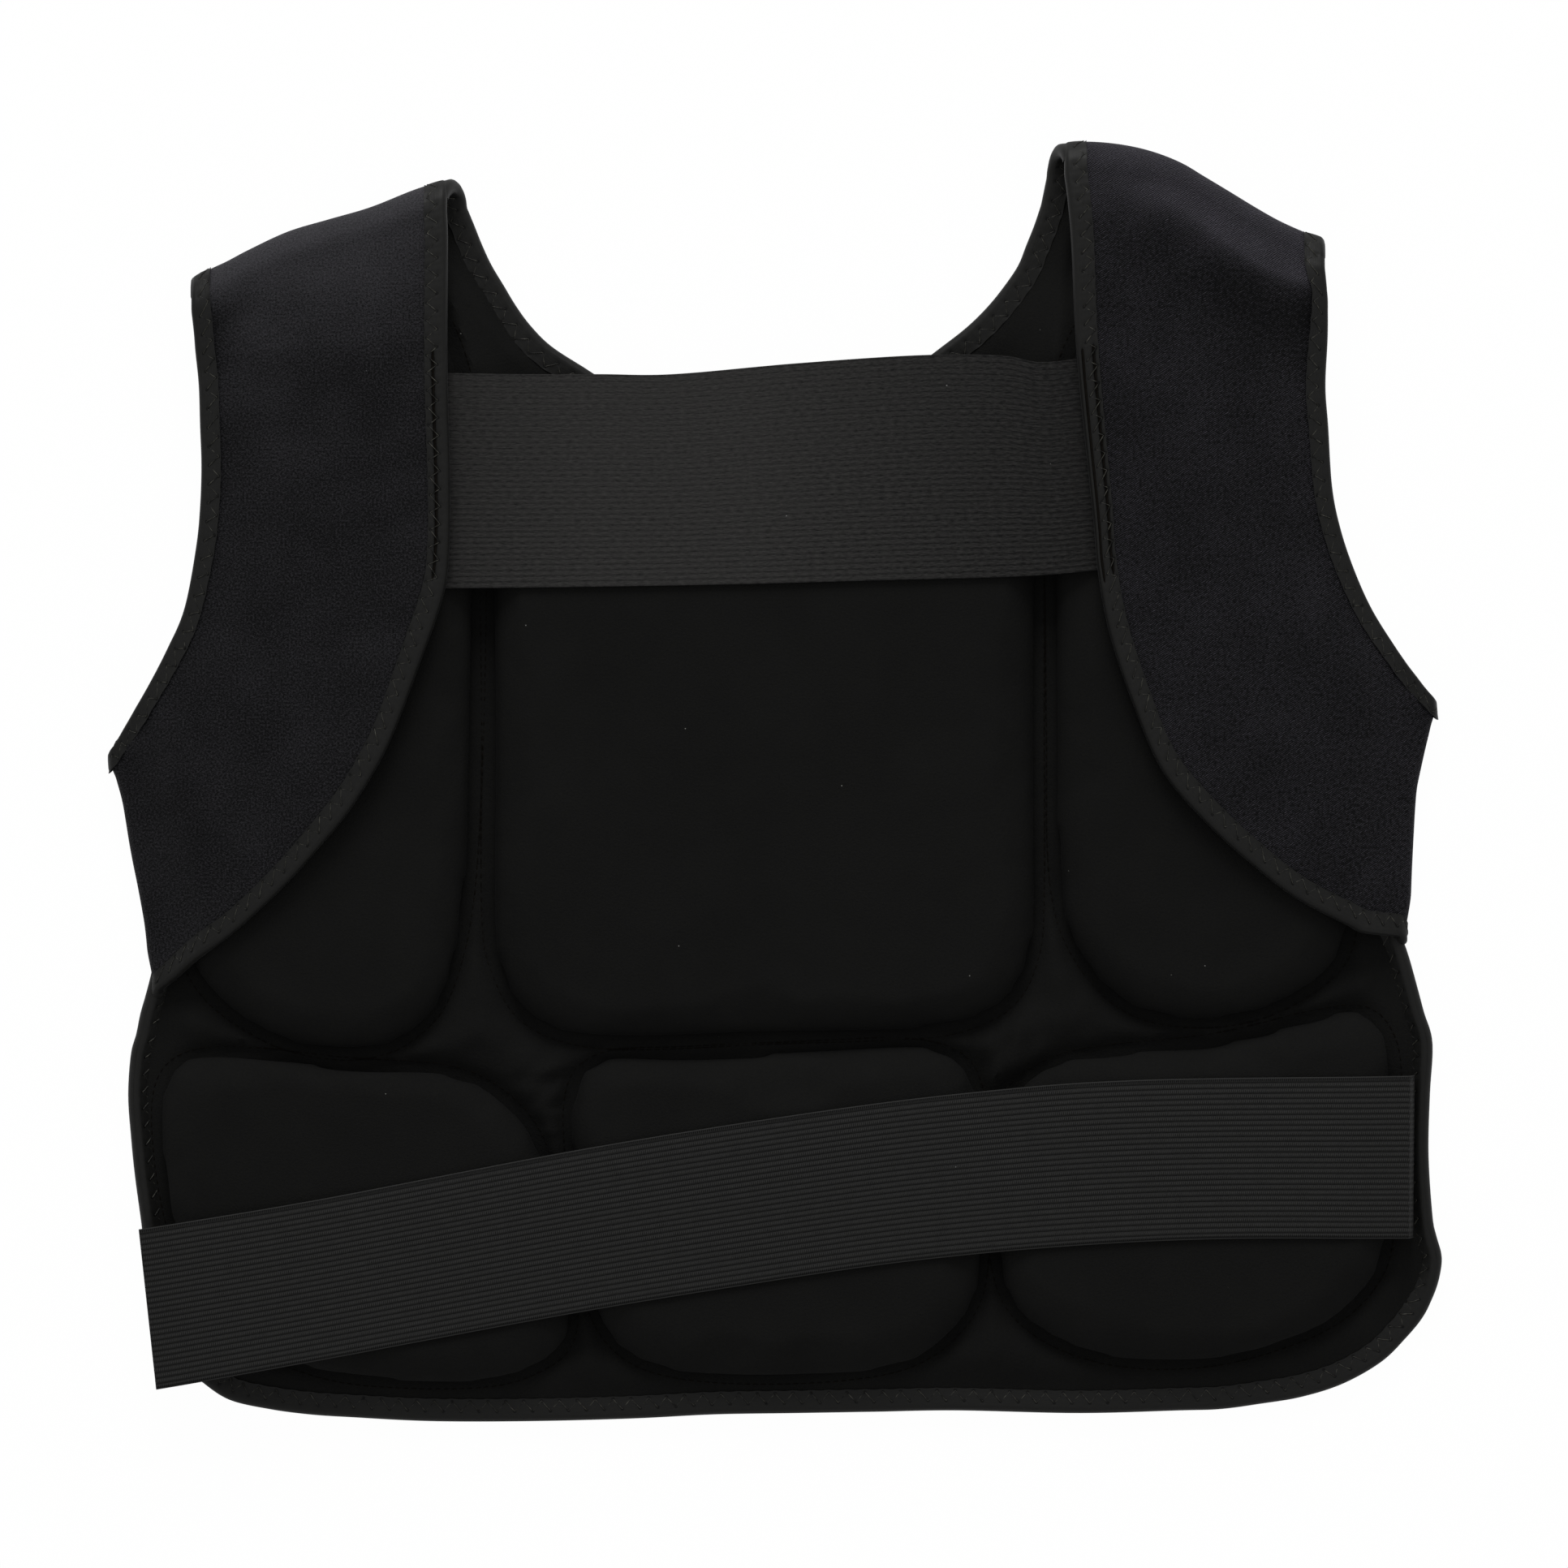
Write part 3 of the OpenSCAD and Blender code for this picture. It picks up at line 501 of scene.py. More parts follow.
def fibres(add, where, size_mm, detail=3.0, rough=0.6, drawn=1):
    """Uneven fibres of a real size; drawn below 1 makes them longer along the thread."""
    if drawn < 1:
        where = add("Mapping", inputs={"Vector": where, "Scale": (drawn, 1, 1)})
    return add("TexNoise", inputs={
        "Vector": where, "Scale": 1 / (size_mm * MM), "Detail": detail, "Roughness": rough})


def mingled(add, first, share, second, other_share):
    """Two patterns laid over each other, each with its own strength."""
    weak = add("Math", second, other_share, operation="MULTIPLY")
    return add("Math", first, share, weak, operation="MULTIPLY_ADD")


def lint(add, where, spacing_mm, size_mm, share):
    """Sparse specks: 1 on a speck, 0 between. share is the part of the cells with one."""
    cell = add("TexVoronoi", inputs={"Vector": where, "Scale": 1 / (spacing_mm * MM)})
    near = add("Math", cell.outputs["Distance"], size_mm / spacing_mm, operation="LESS_THAN")
    chosen = add("SeparateColor", cell.outputs["Color"])
    lucky = add("Math", chosen, share, operation="LESS_THAN")
    return add("Math", near, lucky, operation="MULTIPLY")


def neoprene_face(name, twill, nap, painted_sheen_patches, shade, light, sheen_tint, painted_light_gain):
    """Neoprene with a bonded nylon jersey face: matt black, with the jersey's fine slanting
    lines. Broad random patches of paler tone are painted sheen. Near the shoulders the tone is
    painted paler where the cloth faces the window lamp and darker where it faces away: painted
    light and painted shade. painted_light_gain is how much of each, and shade how pale the cloth
    looks where it lies flat."""
    material, add = blank_finish(name)
    threads = add("UVMap", uv_map="threads")
    # Slanting rows of loops, drawn 0.62 mm apart so that they show, not quite straight and
    # broken along their length.
    turn = 2 * math.pi / (JERSEY_ROW * MM)
    place = add("SeparateXYZ", threads)
    sway = add("Math", fibres(add, threads, 2.0, 1.0), 2.6 * math.pi, operation="MULTIPLY")
    row = add("Math", place, -math.sin(JERSEY_SLANT) * turn, sway, operation="MULTIPLY_ADD")
    row = add("Math", place.outputs[1], math.cos(JERSEY_SLANT) * turn, row,
              operation="MULTIPLY_ADD")
    wave = add("Math", row, operation="SINE")
    broken = add("Math", fibres(add, threads, 1.2, 2.0), 0.3, operation="SUBTRACT")
    rows = add("Math", wave, broken, 0.5, operation="MULTIPLY_ADD")
    height = mingled(add, rows, twill, fibres(add, threads, 0.75, 3.0, 0.75), nap)
    # Painted sheen: broad random patches of paler tone.
    broad = fibres(add, threads, 28, 2.0)
    broad = add("Math", broad, painted_sheen_patches, -painted_sheen_patches / 2, operation="MULTIPLY_ADD")
    tone = add("Math", height, broad, operation="ADD")
    # Painted light and shade: near the shoulders the tone follows which way the cloth faces, paler
    # towards the window lamp at +y and darker away from it.
    lying = add("TexCoord")
    facing = add("SeparateXYZ", lying.outputs["Normal"])
    position = add("SeparateXYZ", lying.outputs["Object"])
    painted_slope_light = add("MapRange", facing.outputs[1], -0.3, 0.3, -painted_light_gain, painted_light_gain)
    near_shoulder = add("MapRange", position.outputs[1], 0.06, 0.14)
    tone = add("Math", painted_slope_light, near_shoulder, tone, operation="MULTIPLY_ADD")
    middle = (twill + nap) / 2
    tone = add("MapRange", tone, middle - shade, middle + 0.34)
    close_finish(add, tone, "#040405", light, height, lift=0.5, roughness=0.6, sheen=0.1,
                 sheen_tint=sheen_tint, specular=0.08,
                 specks=(lint(add, threads, 14, 0.18, 0.3), 0.5, "#6c6c70"))
    return material


def lining_knit():
    """Brushed polyester knit: matt, even black with a fine grain and a few specks of lint."""
    material, add = blank_finish("brushed_knit_lining")
    where = add("TexCoord").outputs["Object"]
    grain = fibres(add, where, 0.9, 3.0, 0.75)
    tone = mingled(add, grain, 0.6, fibres(add, where, 30, 2.0), 0.4)
    close_finish(add, tone, "#0b0b0b", "#1a1a19", grain, lift=0.3, roughness=0.85, sheen=0.03,
                 sheen_tint="#8f8f92", specular=0.05,
                 specks=(lint(add, where, 12, 0.2, 0.4), 0.55, "#9a9a96"))
    return material


def needle_hole_shade(add, threads):
    """1 in the small dimples where the zigzag goes through the tape, which are painted near-black:
    painted shade in the holes.
    """
    place = add("SeparateXYZ", threads)
    turns = add("Math", place, ZIGZAG * MM, operation="DIVIDE")
    turn = add("Math", turns, operation="FRACT")
    off = add("Math", add("Math", turn, 0.5, operation="SUBTRACT"), operation="ABSOLUTE")
    here = add("CombineXYZ", add("Math", off, ZIGZAG, operation="MULTIPLY"),
               add("Math", place.outputs[1], MM, operation="DIVIDE"))
    rows = []
    for along, across in ((0.0, STITCH_MID), (ZIGZAG / 2, TAPE_W - STITCH_IN)):
        gap = add("VectorMath", here, (along, across, 0), operation="DISTANCE")
        rows.append(add("Math", gap.outputs["Value"], HOLE_R, operation="LESS_THAN"))
    return add("Math", *rows, operation="MAXIMUM")


def binding_tape():
    """Woven satin stretch tape: smooth, with a soft shine and fine threads along it."""
    material, add = blank_finish("satin_binding_tape")
    threads = add("UVMap", uv_map="threads")
    fine = fibres(add, threads, 0.5, 2.0, drawn=0.12)
    tone = mingled(add, fine, 0.6, fibres(add, threads, 0.8, 2.0), 0.4)
    close_finish(add, tone, "#0e0e0d", "#1c1c1b", fine, lift=0.06, roughness=0.5, sheen=0.08,
                 sheen_tint="#a6a6aa", specular=0.15,
                 # Painted shade: near-black in the needle holes.
                 specks=(needle_hole_shade(add, threads), 0.9, "#020202"))
    return material


def spun_thread(name, twist_mm, span, dark, light, roughness, sheen, sheen_tint, specular):
    """Spun polyester thread with a slight twist; span is the part of the twist's noise that runs
    from the dark colour to the light one, and on the zigzag's thread the light colour makes painted
    glints.
    """
    material, add = blank_finish(name)
    fine = fibres(add, add("UVMap", uv_map="threads"), twist_mm, 2.0)
    close_finish(add, add("MapRange", fine, *span), dark, light, fine, 0.05,
                 roughness, sheen, sheen_tint, specular)
    return material


def elastic_ribs(add, threads, pitch_mm):
    """Distance along an elastic, number of ribs across it, and the round of each rib."""
    place = add("SeparateXYZ", threads)
    turns = add("Math", place.outputs[1], pitch_mm * MM, operation="DIVIDE")
    phase = add("Math", turns, operation="FRACT")
    half_turn = add("Math", phase, math.pi, operation="MULTIPLY")
    return place.outputs[0], turns, add("Math", half_turn, operation="SINE")


def band_elastic():
    """Woven elastic with fine ribs: light ridges of polyester over dark rubber rows."""
    material, add = blank_finish("fine_ribbed_elastic")
    threads = add("UVMap", uv_map="threads")
    along, _, hump = elastic_ribs(add, threads, BAND_RIB)
    grain = fibres(add, threads, 0.5, 3.0, 0.7, drawn=0.2)
    tone = mingled(add, hump, 0.12, grain, 0.6)
    # Painted shade: darker towards both ends, and most at the right, where the band runs in under
    # the yokes.
    off = add("Math", along, 0.085, operation="SUBTRACT")
    from_middle = add("Math", off, operation="ABSOLUTE")
    painted_end_shade = add("MapRange", from_middle, 0.03, 0.155, 0.015, 0.14)
    tone = add("Math", tone, painted_end_shade, operation="SUBTRACT")
    tone = add("MapRange", tone, 0.17, 0.6)
    close_finish(add, tone, "#0a0a0a", "#3d3c3b", grain, lift=0.15, roughness=0.65, sheen=0.04,
                 sheen_tint="#9a9a9c", specular=0.1,
                 specks=(lint(add, threads, 9, 0.25, 0.4), 0.5, "#8a8988"))
    return material


def strap_elastic(pitch_mm):
    """Heavy woven elastic: close ribs, each a row of small slanting stitches."""
    material, add = blank_finish("bold_ribbed_elastic")
    threads = add("UVMap", uv_map="threads")
    along, turns, hump = elastic_ribs(add, threads, pitch_mm)
    hump = add("Math", hump, 2.6, operation="POWER")
    # Small pale stitches 0.75 mm apart along each rib, slanting over it.
    slant = mingled(add, along, 2 * math.pi / (0.75 * MM), turns, 1.2 * math.pi)
    dash = add("Math", slant, operation="SINE")
    dash = add("Math", dash, fibres(add, threads, 5.0, 2.0), 0.5, operation="MULTIPLY_ADD")
    stitches = add("Math", hump, dash, operation="MULTIPLY")
    tone = mingled(add, stitches, 0.7, fibres(add, threads, 0.6, 2.0), 0.3)
    # A close-woven selvedge: a pale cord at each edge, and a dark line beside it.
    middle = add("Math", turns, STRAP_RIBS / 2, operation="SUBTRACT")
    middle = add("Math", middle, operation="ABSOLUTE")
    from_edge = add("Math", STRAP_RIBS / 2, middle, operation="SUBTRACT")
    cord = add("Math", from_edge, 0.2, operation="LESS_THAN")
    both = add("Math", from_edge, 0.6, operation="LESS_THAN")
    # The cord is lifted by 0.35 and the line lowered by as much.
    selvedge = mingled(add, cord, 0.7, both, -0.35)
    tone = add("Math", tone, selvedge, operation="ADD")
    close_finish(add, tone, "#050505", "#393938", tone, lift=0.3, roughness=0.6, sheen=0.04,
                 sheen_tint="#9c9c9e", specular=0.1,
                 specks=(lint(add, threads, 12, 0.25, 0.4), 0.4, "#9a9a98"))
    return material


def fastener_tape(name, size_mm, dark, light, rough):
    """Hook or loop tape: a field of small nylon hooks, or of fuzzy loops."""
    material, add = blank_finish(name)
    where = add("TexCoord").outputs["Object"]
    cell = add("TexVoronoi", inputs={
        "Vector": where, "Scale": 1 / (size_mm * MM), "Randomness": rough})
    tone = add("Math", fibres(add, where, size_mm * 0.7, 2.0), 0.45, operation="ADD")
    tone = add("Math", tone, cell.outputs["Distance"], operation="SUBTRACT")
    close_finish(add, tone, dark, light, tone, lift=0.5, roughness=0.5, sheen=0.1,
                 sheen_tint="#8c8c90", specular=0.15)
    return material


# In each, the third number is the strength of the painted sheen patches, and the last is the gain
# of the painted light and shade near the shoulders.
NEOPRENE_LEFT = neoprene_face("neoprene_brushed_jersey", 0.1, 0.66, 0.1, 0.045,
                              "#403f43", "#8f8c96", 0.16)
NEOPRENE_RIGHT = neoprene_face("neoprene_slanted_jersey", 0.75, 0.42, 0.16, -0.025,
                               "#434148", "#8c88a0", 0.15)
LINING = lining_knit()
TAPE = binding_tape()
# The zigzag's thread is a lighter black than the tape, with painted glints on its twist. The
# quilting's is a dull brown-black, sunk into the stitched lines between the pads.
THREAD = spun_thread("sewing_thread", 1.6, (0.45, 0.8), "#0f0f0f", "#63625a",
                     0.5, 0.05, "#b0b0b0", 0.1)
# The same thread also makes the dark cords along the tapes' creases: painted shade.
QUILTING_THREAD_AND_CREASE_SHADE = spun_thread("quilting_thread_and_crease_shade", 2.0, (0.0, 1.0), "#040303", "#14110d",
                          0.7, 0.02, "#8a8680", 0.05)
BAND_CLOTH = band_elastic()
HOOKS = fastener_tape("nylon_hook_tape", 1.2, "#060606", "#2b2b2c", 0.15)
LOOPS = fastener_tape("nylon_loop_tape", 0.9, "#0b0b0b", "#2a2a2b", 1.0)

# ---- Yokes ----

# How far the yoke's own rows turn over the shoulder and round the side, in degrees
SHOULDER_TURN = (20, 72)
SIDE_TURN = range(75, -91, -15)
YOKE_ROWS = 150
YOKE_COLS = 64
SHOULDER_ROWS = 7
SEW_IN = 1.0
# How much the cloth goes on rising past each shoulder fold, and over what length
SHOULDER_RISE = {LEFT: (4.2, 46), RIGHT: (2.6, 26)}
# How high the pulled fold stands, and how far it reaches to its left and its right
CREST_RISE = 7.0
CREST_WIDTHS = (32, 14)
OVER_FOLD = 0.25
# How far the yoke falls at the armhole, over what width, and how high its side fold stands
ARM_FALL = 6
FALL_W = 26
SIDE_TOP_Z = 9.7


def shoulder_fold(side):
    """The line where the cloth comes over the shoulder."""
    return resample(smooth_line(SHOULDER[side], 2.0) - [0, SHOULDER_REACH * SHOULDER_R], -60)


def side_fold(side):
    """The line where the cloth starts to turn round the side, up to the armhole."""
    line = beside(smooth_line(SIDE_FOLD[side], 2.0), -side * SIDE_R)
    arm = np.array(ARMHOLE[side][-2:], float)
    start = arm[1] - 7.0 * unit(arm[1] - arm[0])
    line = line[line[:, 1] < start[1] - 5]
    return resample(smooth_line(np.vstack([[start], line[::4]]), 1.0), -60)


def stretch(line, start, end, count):
    """The line as equal steps, shorter by start and end at its two ends."""
    run = run_along(line)
    return read_at(np.linspace(start, run[-1] - end, count), run, line)


def between(first, points, last, clear=7.0):
    """A line from first to last through the points that lie clear of both."""
    mid = [p for p in points
           if np.linalg.norm(p - first) > clear and np.linalg.norm(p - last) > clear and
           last[1] < p[1] < first[1]]
    return np.vstack([[first], mid, [last]])


def yoke_relief(side, xy):
    """Height of a yoke's upper face as it lies on the pads."""
    fold = side_fold(side)
    arm = smooth_line(ARMHOLE[side], 6.0)
    shoulder = shoulder_fold(side)[::6]
    from_shoulder, from_arm, from_fold = (gap_to(line, xy) for line in (shoulder, arm, fold))
    # The cloth falls to both its edges; the two falls meet in a rounded corner.
    arm_fall = ARM_FALL * 2 * (1 - eased(from_arm / (2 * FALL_W) + 0.5)) * eased(from_shoulder / 30)
    side_share = 1 - np.sin(np.pi / 2 * np.clip(from_fold / FALL_W, 0, 1) ** 1.3)
    side_fall = (YOKE_TOP_Z - SIDE_TOP_Z) * side_share
    height = YOKE_TOP_Z + OVER_FOLD - (arm_fall ** 3 + side_fall ** 3) ** (1 / 3)
    rise, reach = SHOULDER_RISE[side]
    climb = 1 - (1 - np.clip(from_shoulder / reach, 0, 1)) ** 2
    height += rise * climb * eased(from_fold / 90)
    calm = eased(from_shoulder / 14)
    height += calm * (0.4 * ripple(xy, 80, 11 + side) + 0.08 * ripple(xy, 24, 21 + side))
    if side == RIGHT:
        crest = ridge(xy, CREST, *CREST_WIDTHS) * (1 - np.exp(-from_shoulder / 12))
        height += CREST_RISE * crest * eased(from_arm / 14 + 0.4)
    line, fold_rise, half_width = YOKE_FOLDS[side]
    return height + calm * fold_rise * fold_line(xy, line, half_width, 20)


def yoke_net(side):
    """The yoke's upper face as a net: over the shoulder, across the back, round the side."""
    shoulder = stretch(shoulder_fold(side), SEW_IN, SEW_IN, YOKE_COLS)
    side_line = stretch(side_fold(side), SEW_IN, SEW_IN, YOKE_COLS)[::-1]
    inner = beside(smooth_line(YOKE_INNER[side], 4.0), side * SEW_IN)
    arm = beside(smooth_line(ARMHOLE[side], 4.0), -side * SEW_IN)
    inner = resample(smooth_line(between(shoulder[0], inner, side_line[0]), 2.0), -YOKE_ROWS)
    arm = resample(smooth_line(between(shoulder[-1], arm, side_line[-1]), 2.0), -YOKE_ROWS)
    u = np.linspace(0, 1, YOKE_COLS)[None, :, None]
    v = np.linspace(0, 1, YOKE_ROWS)[:, None, None]
    flat = ((1 - v) * shoulder[None] + v * side_line[None]
            + (1 - u) * inner[:, None] + u * arm[:, None]
            - (1 - u) * (1 - v) * shoulder[0] - u * (1 - v) * shoulder[-1]
            - (1 - u) * v * side_line[0] - u * v * side_line[-1])
    xy = flat.reshape(-1, 2)
    net = np.column_stack([xy, yoke_relief(side, xy)]).reshape(YOKE_ROWS, YOKE_COLS, 3)
    top = arc_rows(shoulder, side, SHOULDER_R + 0.1,
                   np.radians(np.linspace(*SHOULDER_TURN, SHOULDER_ROWS)))
    low = arc_rows(side_line, -side, SIDE_R, np.radians(SIDE_TURN))
    return np.concatenate([top, net, low])


def arc_rows(fold, side, radius, angles):
    """Rows of a cloth that turns round a fold line, one for each angle.

    Over a shoulder the rows run straight on, towards the neck."""
    if radius > SIDE_R:
        out = np.tile([0, SHOULDER_REACH], (len(fold), 1))
        base_z = SHELL_Z + SHOULDER_R
    else:
        out = side * turned(tangents(fold))
        base_z = SHELL_Z + SIDE_R
        # At its two ends the turn follows the edges of the yoke, so the corners stay round.
        corner = np.array(ARMHOLE[-side][-1], float)
        aims = {-1: (corner - fold[-1]) / SIDE_R * 0.72, 0: np.array([-0.45 * side, -0.75])}
        for end, aim in aims.items():
            share = eased(1 - np.linalg.norm(fold - fold[end], axis=1) / 16)[:, None]
            out = (1 - share) * out + share * aim
    return np.stack([
        np.column_stack([fold + out * radius * math.cos(a),
                         np.full(len(fold), base_z + radius * math.sin(a))]) for a in angles])


def net_uv(net):
    """Distances across and along a net, as the cloth's own threads run."""
    across = np.cumsum(np.linalg.norm(np.diff(net, axis=1, prepend=net[:, :1]), axis=2), axis=1)
    along = np.cumsum(np.linalg.norm(np.diff(net, axis=0, prepend=net[:1]), axis=2), axis=0)
    return np.stack([across, along.mean(axis=1, keepdims=True) * np.ones_like(across)], axis=-1)


def up_normals(net):
    normals = net_normals(net)
    mid = normals[len(normals) // 2, normals.shape[1] // 2]
    return normals if mid[2] > 0 else -normals


def make_yoke(side, net, name):
    """The yoke's cloth. Its threads run straight over the shoulder and round the side."""
    normals = up_normals(net)
    uv = net[..., :2].copy()
    last = SHOULDER_ROWS + YOKE_ROWS - 1
    for rows in (range(SHOULDER_ROWS, -1, -1), range(last, len(net))):
        ahead = unit(uv[rows[1]] - uv[rows[0]])
        for before, row in zip(rows[:-1], rows[1:]):
            step = np.linalg.norm(net[row] - net[before], axis=-1, keepdims=True)
            uv[row] = uv[before] + ahead * step
    finish = NEOPRENE_LEFT if side == LEFT else NEOPRENE_RIGHT
    return make_piece(name, [cloth_part(net, net - NEOPRENE_T * normals, uv)], [finish])


# ---- Edge bindings ----

# Where round the shoulder the front's bindings start, and where they reach the flat front
OVER_TURN = (62, -86)


def tape_height(q, slot):
    """Half thickness of the folded tape at a distance from its outer edge."""
    full = slot + TAPE_T
    round_q = 0.8 * full
    nose = full * np.sqrt(np.clip(1 - (1 - np.minimum(q, round_q) / round_q) ** 2, 0, 1))
    return nose - 0.25 * eased((q - 3) / 4)


def holes(run, q, phase):
    """Dimples where the needle went in, alternately at the two sides of the zigzag."""
    reach = (run / ZIGZAG + phase) % 1.0
    reach = np.minimum(reach, 1 - reach) * ZIGZAG
    return np.exp(-(reach ** 2 + q ** 2) / 0.5)


def tape_parts(edge, inward, normal, slot, caught=None):
    """A folded tape along an edge, and the zigzag that holds it on both faces.

    caught gives the deep creases where another cloth's end is sewn in under the tape: how
    strong they are at each point, and how far from the edge they run."""
    edge, inward, normal = resample(edge, TAPE_STEP, (inward, normal))
    inward, normal = unit(inward), unit(normal)
    normal = unit(normal - inward * (normal * inward).sum(axis=1, keepdims=True))
    count = len(edge)
    run = np.arange(count) * TAPE_STEP
    q = np.array(TAPE_PLACES)
    wide = np.concatenate([q[::-1], q[1:]])
    sign = np.concatenate([-np.ones(len(q) - 1), [0], np.ones(len(q) - 1)])
    height = np.tile(tape_height(wide, slot), (count, 1))
    dip = (holes(run[:, None], wide - (TAPE_W - STITCH_IN), 0.0)
           + holes(run[:, None], wide - STITCH_MID, 0.5))
    pucker = TAPE_PUCKER * np.sin(4 * math.pi * run[:, None] / ZIGZAG) * eased(wide / 3)
    height += pucker * np.ones_like(height) - HOLE_DEPTH * dip
    crease_shade_cords = []
    if caught:
        pull, places = caught[0](edge), caught[1]
        held = pull > 0.3
        for place in places:
            height -= CREASE * pull[:, None] * np.exp(-((wide - place) / 0.5) ** 2)
            # Painted shade: a dark cord of the quilting thread lies along the bottom of each
            # crease.
            middle = edge + place * inward + (tape_height(place, slot) - CREASE / 2) * normal
            crease_shade_cords.append(thread_tubes(middle[None, held], normal[None, held], run[None, held],
                                      CREASE_SHADE_CORD_R, finish=2))
    # The tape's inside, round the cloth's edge.
    inner = np.array([(TAPE_W - 0.2, slot - 0.1), (1.4, slot - 0.1), (1.0, 0.6), (1.0, -0.6),
                      (1.4, 0.1 - slot), (TAPE_W - 0.2, 0.1 - slot)])
    wave = np.cos(2 * math.pi * run[:, None] / ZIGZAG)
    scallop = 1 + TAPE_SCALLOP * wave * eased((wide - 5) / 3)
    all_q = np.hstack([wide * scallop, np.tile(inner[:, 0], (count, 1))])
    all_h = np.hstack([height * sign, np.tile(inner[:, 1], (count, 1))])
    rings = edge[:, None] + all_q[..., None] * inward[:, None] + all_h[..., None] * normal[:, None]
    size = rings.shape[1]
    faces = net_faces(count, size, wrap=True).tolist()
    end = (count - 1) * size
    faces += [list(range(size))[::-1], [end + j for j in range(size)]]
    uv = np.stack(np.broadcast_arrays(run[:, None], all_q), axis=-1)
    return [(rings.reshape(-1, 3), faces, uv.reshape(-1, 2), 0),
            thread_part(edge, inward, normal, run, slot, 1),
            thread_part(edge, inward, normal, run, slot, -1)] + crease_shade_cords


def thread_part(edge, inward, normal, run, slot, face):
    """Strokes of the zigzag on one face of the tape."""
    strokes = int(run[-1] / (ZIGZAG / 2)) - 1
    t = np.linspace(0, 1, 6)
    stroke = np.arange(strokes)[:, None]
    at = (stroke + t) * ZIGZAG / 2
    inwards = stroke % 2 == 0
    q = STITCH_MID + (TAPE_W - STITCH_IN - STITCH_MID) * np.where(inwards, 1 - t, t)
    sunk = np.where(inwards, 0.2, 0.4)
    height = tape_height(q, slot) + 0.32 * np.sin(math.pi * t) ** 0.5 - sunk
    where, inn, up = (read_at(at, run, values) for values in (edge, inward, face * normal))
    middle = where + q[..., None] * inn + height[..., None] * up
    return thread_tubes(middle, up, at, THREAD_R)


def thread_tubes(middle, up, run, radius, finish=1):
    """Round threads with closed ends, one along each row of points."""
    side = np.cross(unit(np.gradient(middle, axis=1)), up)
    ring = np.linspace(0, 2 * math.pi, THREAD_SIDES + 1)[:-1]
    points = (middle[:, :, None] + radius * (np.cos(ring)[:, None] * side[:, :, None]
                                             + np.sin(ring)[:, None] * up[:, :, None]))
    steps = middle.shape[1]
    end = THREAD_SIDES * (steps - 1)
    turn = list(range(THREAD_SIDES))
    tube = net_faces(steps, THREAD_SIDES, wrap=True).tolist()
    tube += [turn[::-1], [end + j for j in turn]]
    size = THREAD_SIDES * steps
    faces = [[i + size * k for i in f] for k in range(len(middle)) for f in tube]
    uv = np.stack(np.broadcast_arrays(run[:, :, None], ring), axis=-1)
    return points.reshape(-1, 3), faces, uv.reshape(-1, 2), finish


def flat_marks(path, side_of_cloth=1):
    """Edge, inward and normal of a binding on a flat edge."""
    inward = side_of_cloth * turned(tangents(path))
    flat = np.zeros((len(path), 1))
    return (np.hstack([path, flat + EDGE_MID_Z]), np.hstack([inward, flat]),
            np.hstack([flat, flat, flat + 1]))


def rolled_marks(path):
    """The same along the hem, curling up where it runs along the sides."""
    edge, inward, up = flat_marks(path)
    roll = SIDE_ROLL * side_roll(path)[:, None]
    return (edge + up * ROLL_IN * np.sin(roll), inward * np.cos(roll) - up * np.sin(roll),
            up * np.cos(roll) + inward * np.sin(roll))


def over_marks(fold, shift):
    """The same round the shoulder, from the top of the fold down to the flat front.

    fold starts at the corner; shift moves the lower end out along the fold."""
    corner, inn = fold[0], unit(fold[4] - fold[0])
    angles = np.radians(np.linspace(*OVER_TURN, 20))[:, None]
    slip = shift * eased((math.pi / 2 - angles) / math.pi)
    away = np.hstack([0 * angles, SHOULDER_REACH * np.cos(angles), np.sin(angles)])
    middle = np.hstack([corner - slip * inn, 0 * angles + SHELL_Z + SHOULDER_R])
    return (middle + (SHOULDER_R - FRONT_SLOT - 0.3) * away,
            np.tile([*inn, 0.0], (len(angles), 1)), -unit(away))


def joined(*marks):
    return [np.vstack(parts) for parts in zip(*marks)]


def turned_round(marks):
    return [m[::-1] for m in marks]


def yoke_marks(net, column, step):
    """Marks of a yoke's edge, from its net."""
    normals = up_normals(net)
    edge = net[:, column]
    inn = unit(net[:, column + 3 * step] - edge)
    up = normals[:, column + step]
    return edge - SEW_IN * inn - NEOPRENE_T / 2 * up, inn, up


def armhole_front(side):
    """The front is cut a little deeper at the armhole than the yoke."""
    line = smooth_line(ARMHOLE[side], 2.0)
    from_shoulder = np.arange(len(line)) * 2.0
    deeper = ARM_INSET * np.sin(np.pi / 2 * np.clip(from_shoulder / 60, 0, 1))
    line = beside(line, -side * deeper)
    return line[line[:, 1] < shoulder_fold(side)[-1][1] - 6]


# ---- Front: outer face, lining, pads ----

QUILT_STITCH = 3.0
QUILT_OUT = 0.9
ARM_INSET = 4
NECK_DRAPE = 9.0
NECK_FOLD_RISE = 2.0
WRINKLE_RISE = 1.4
# Where the web puckers between the pads: place, reach, how it is drawn, size and seed
WEB_WRINKLES = [((89, -103), 16, (1.0, 0.35), 5.5, 8), ((-84, -117), 14, (0.4, 1.0), 6, 9)]


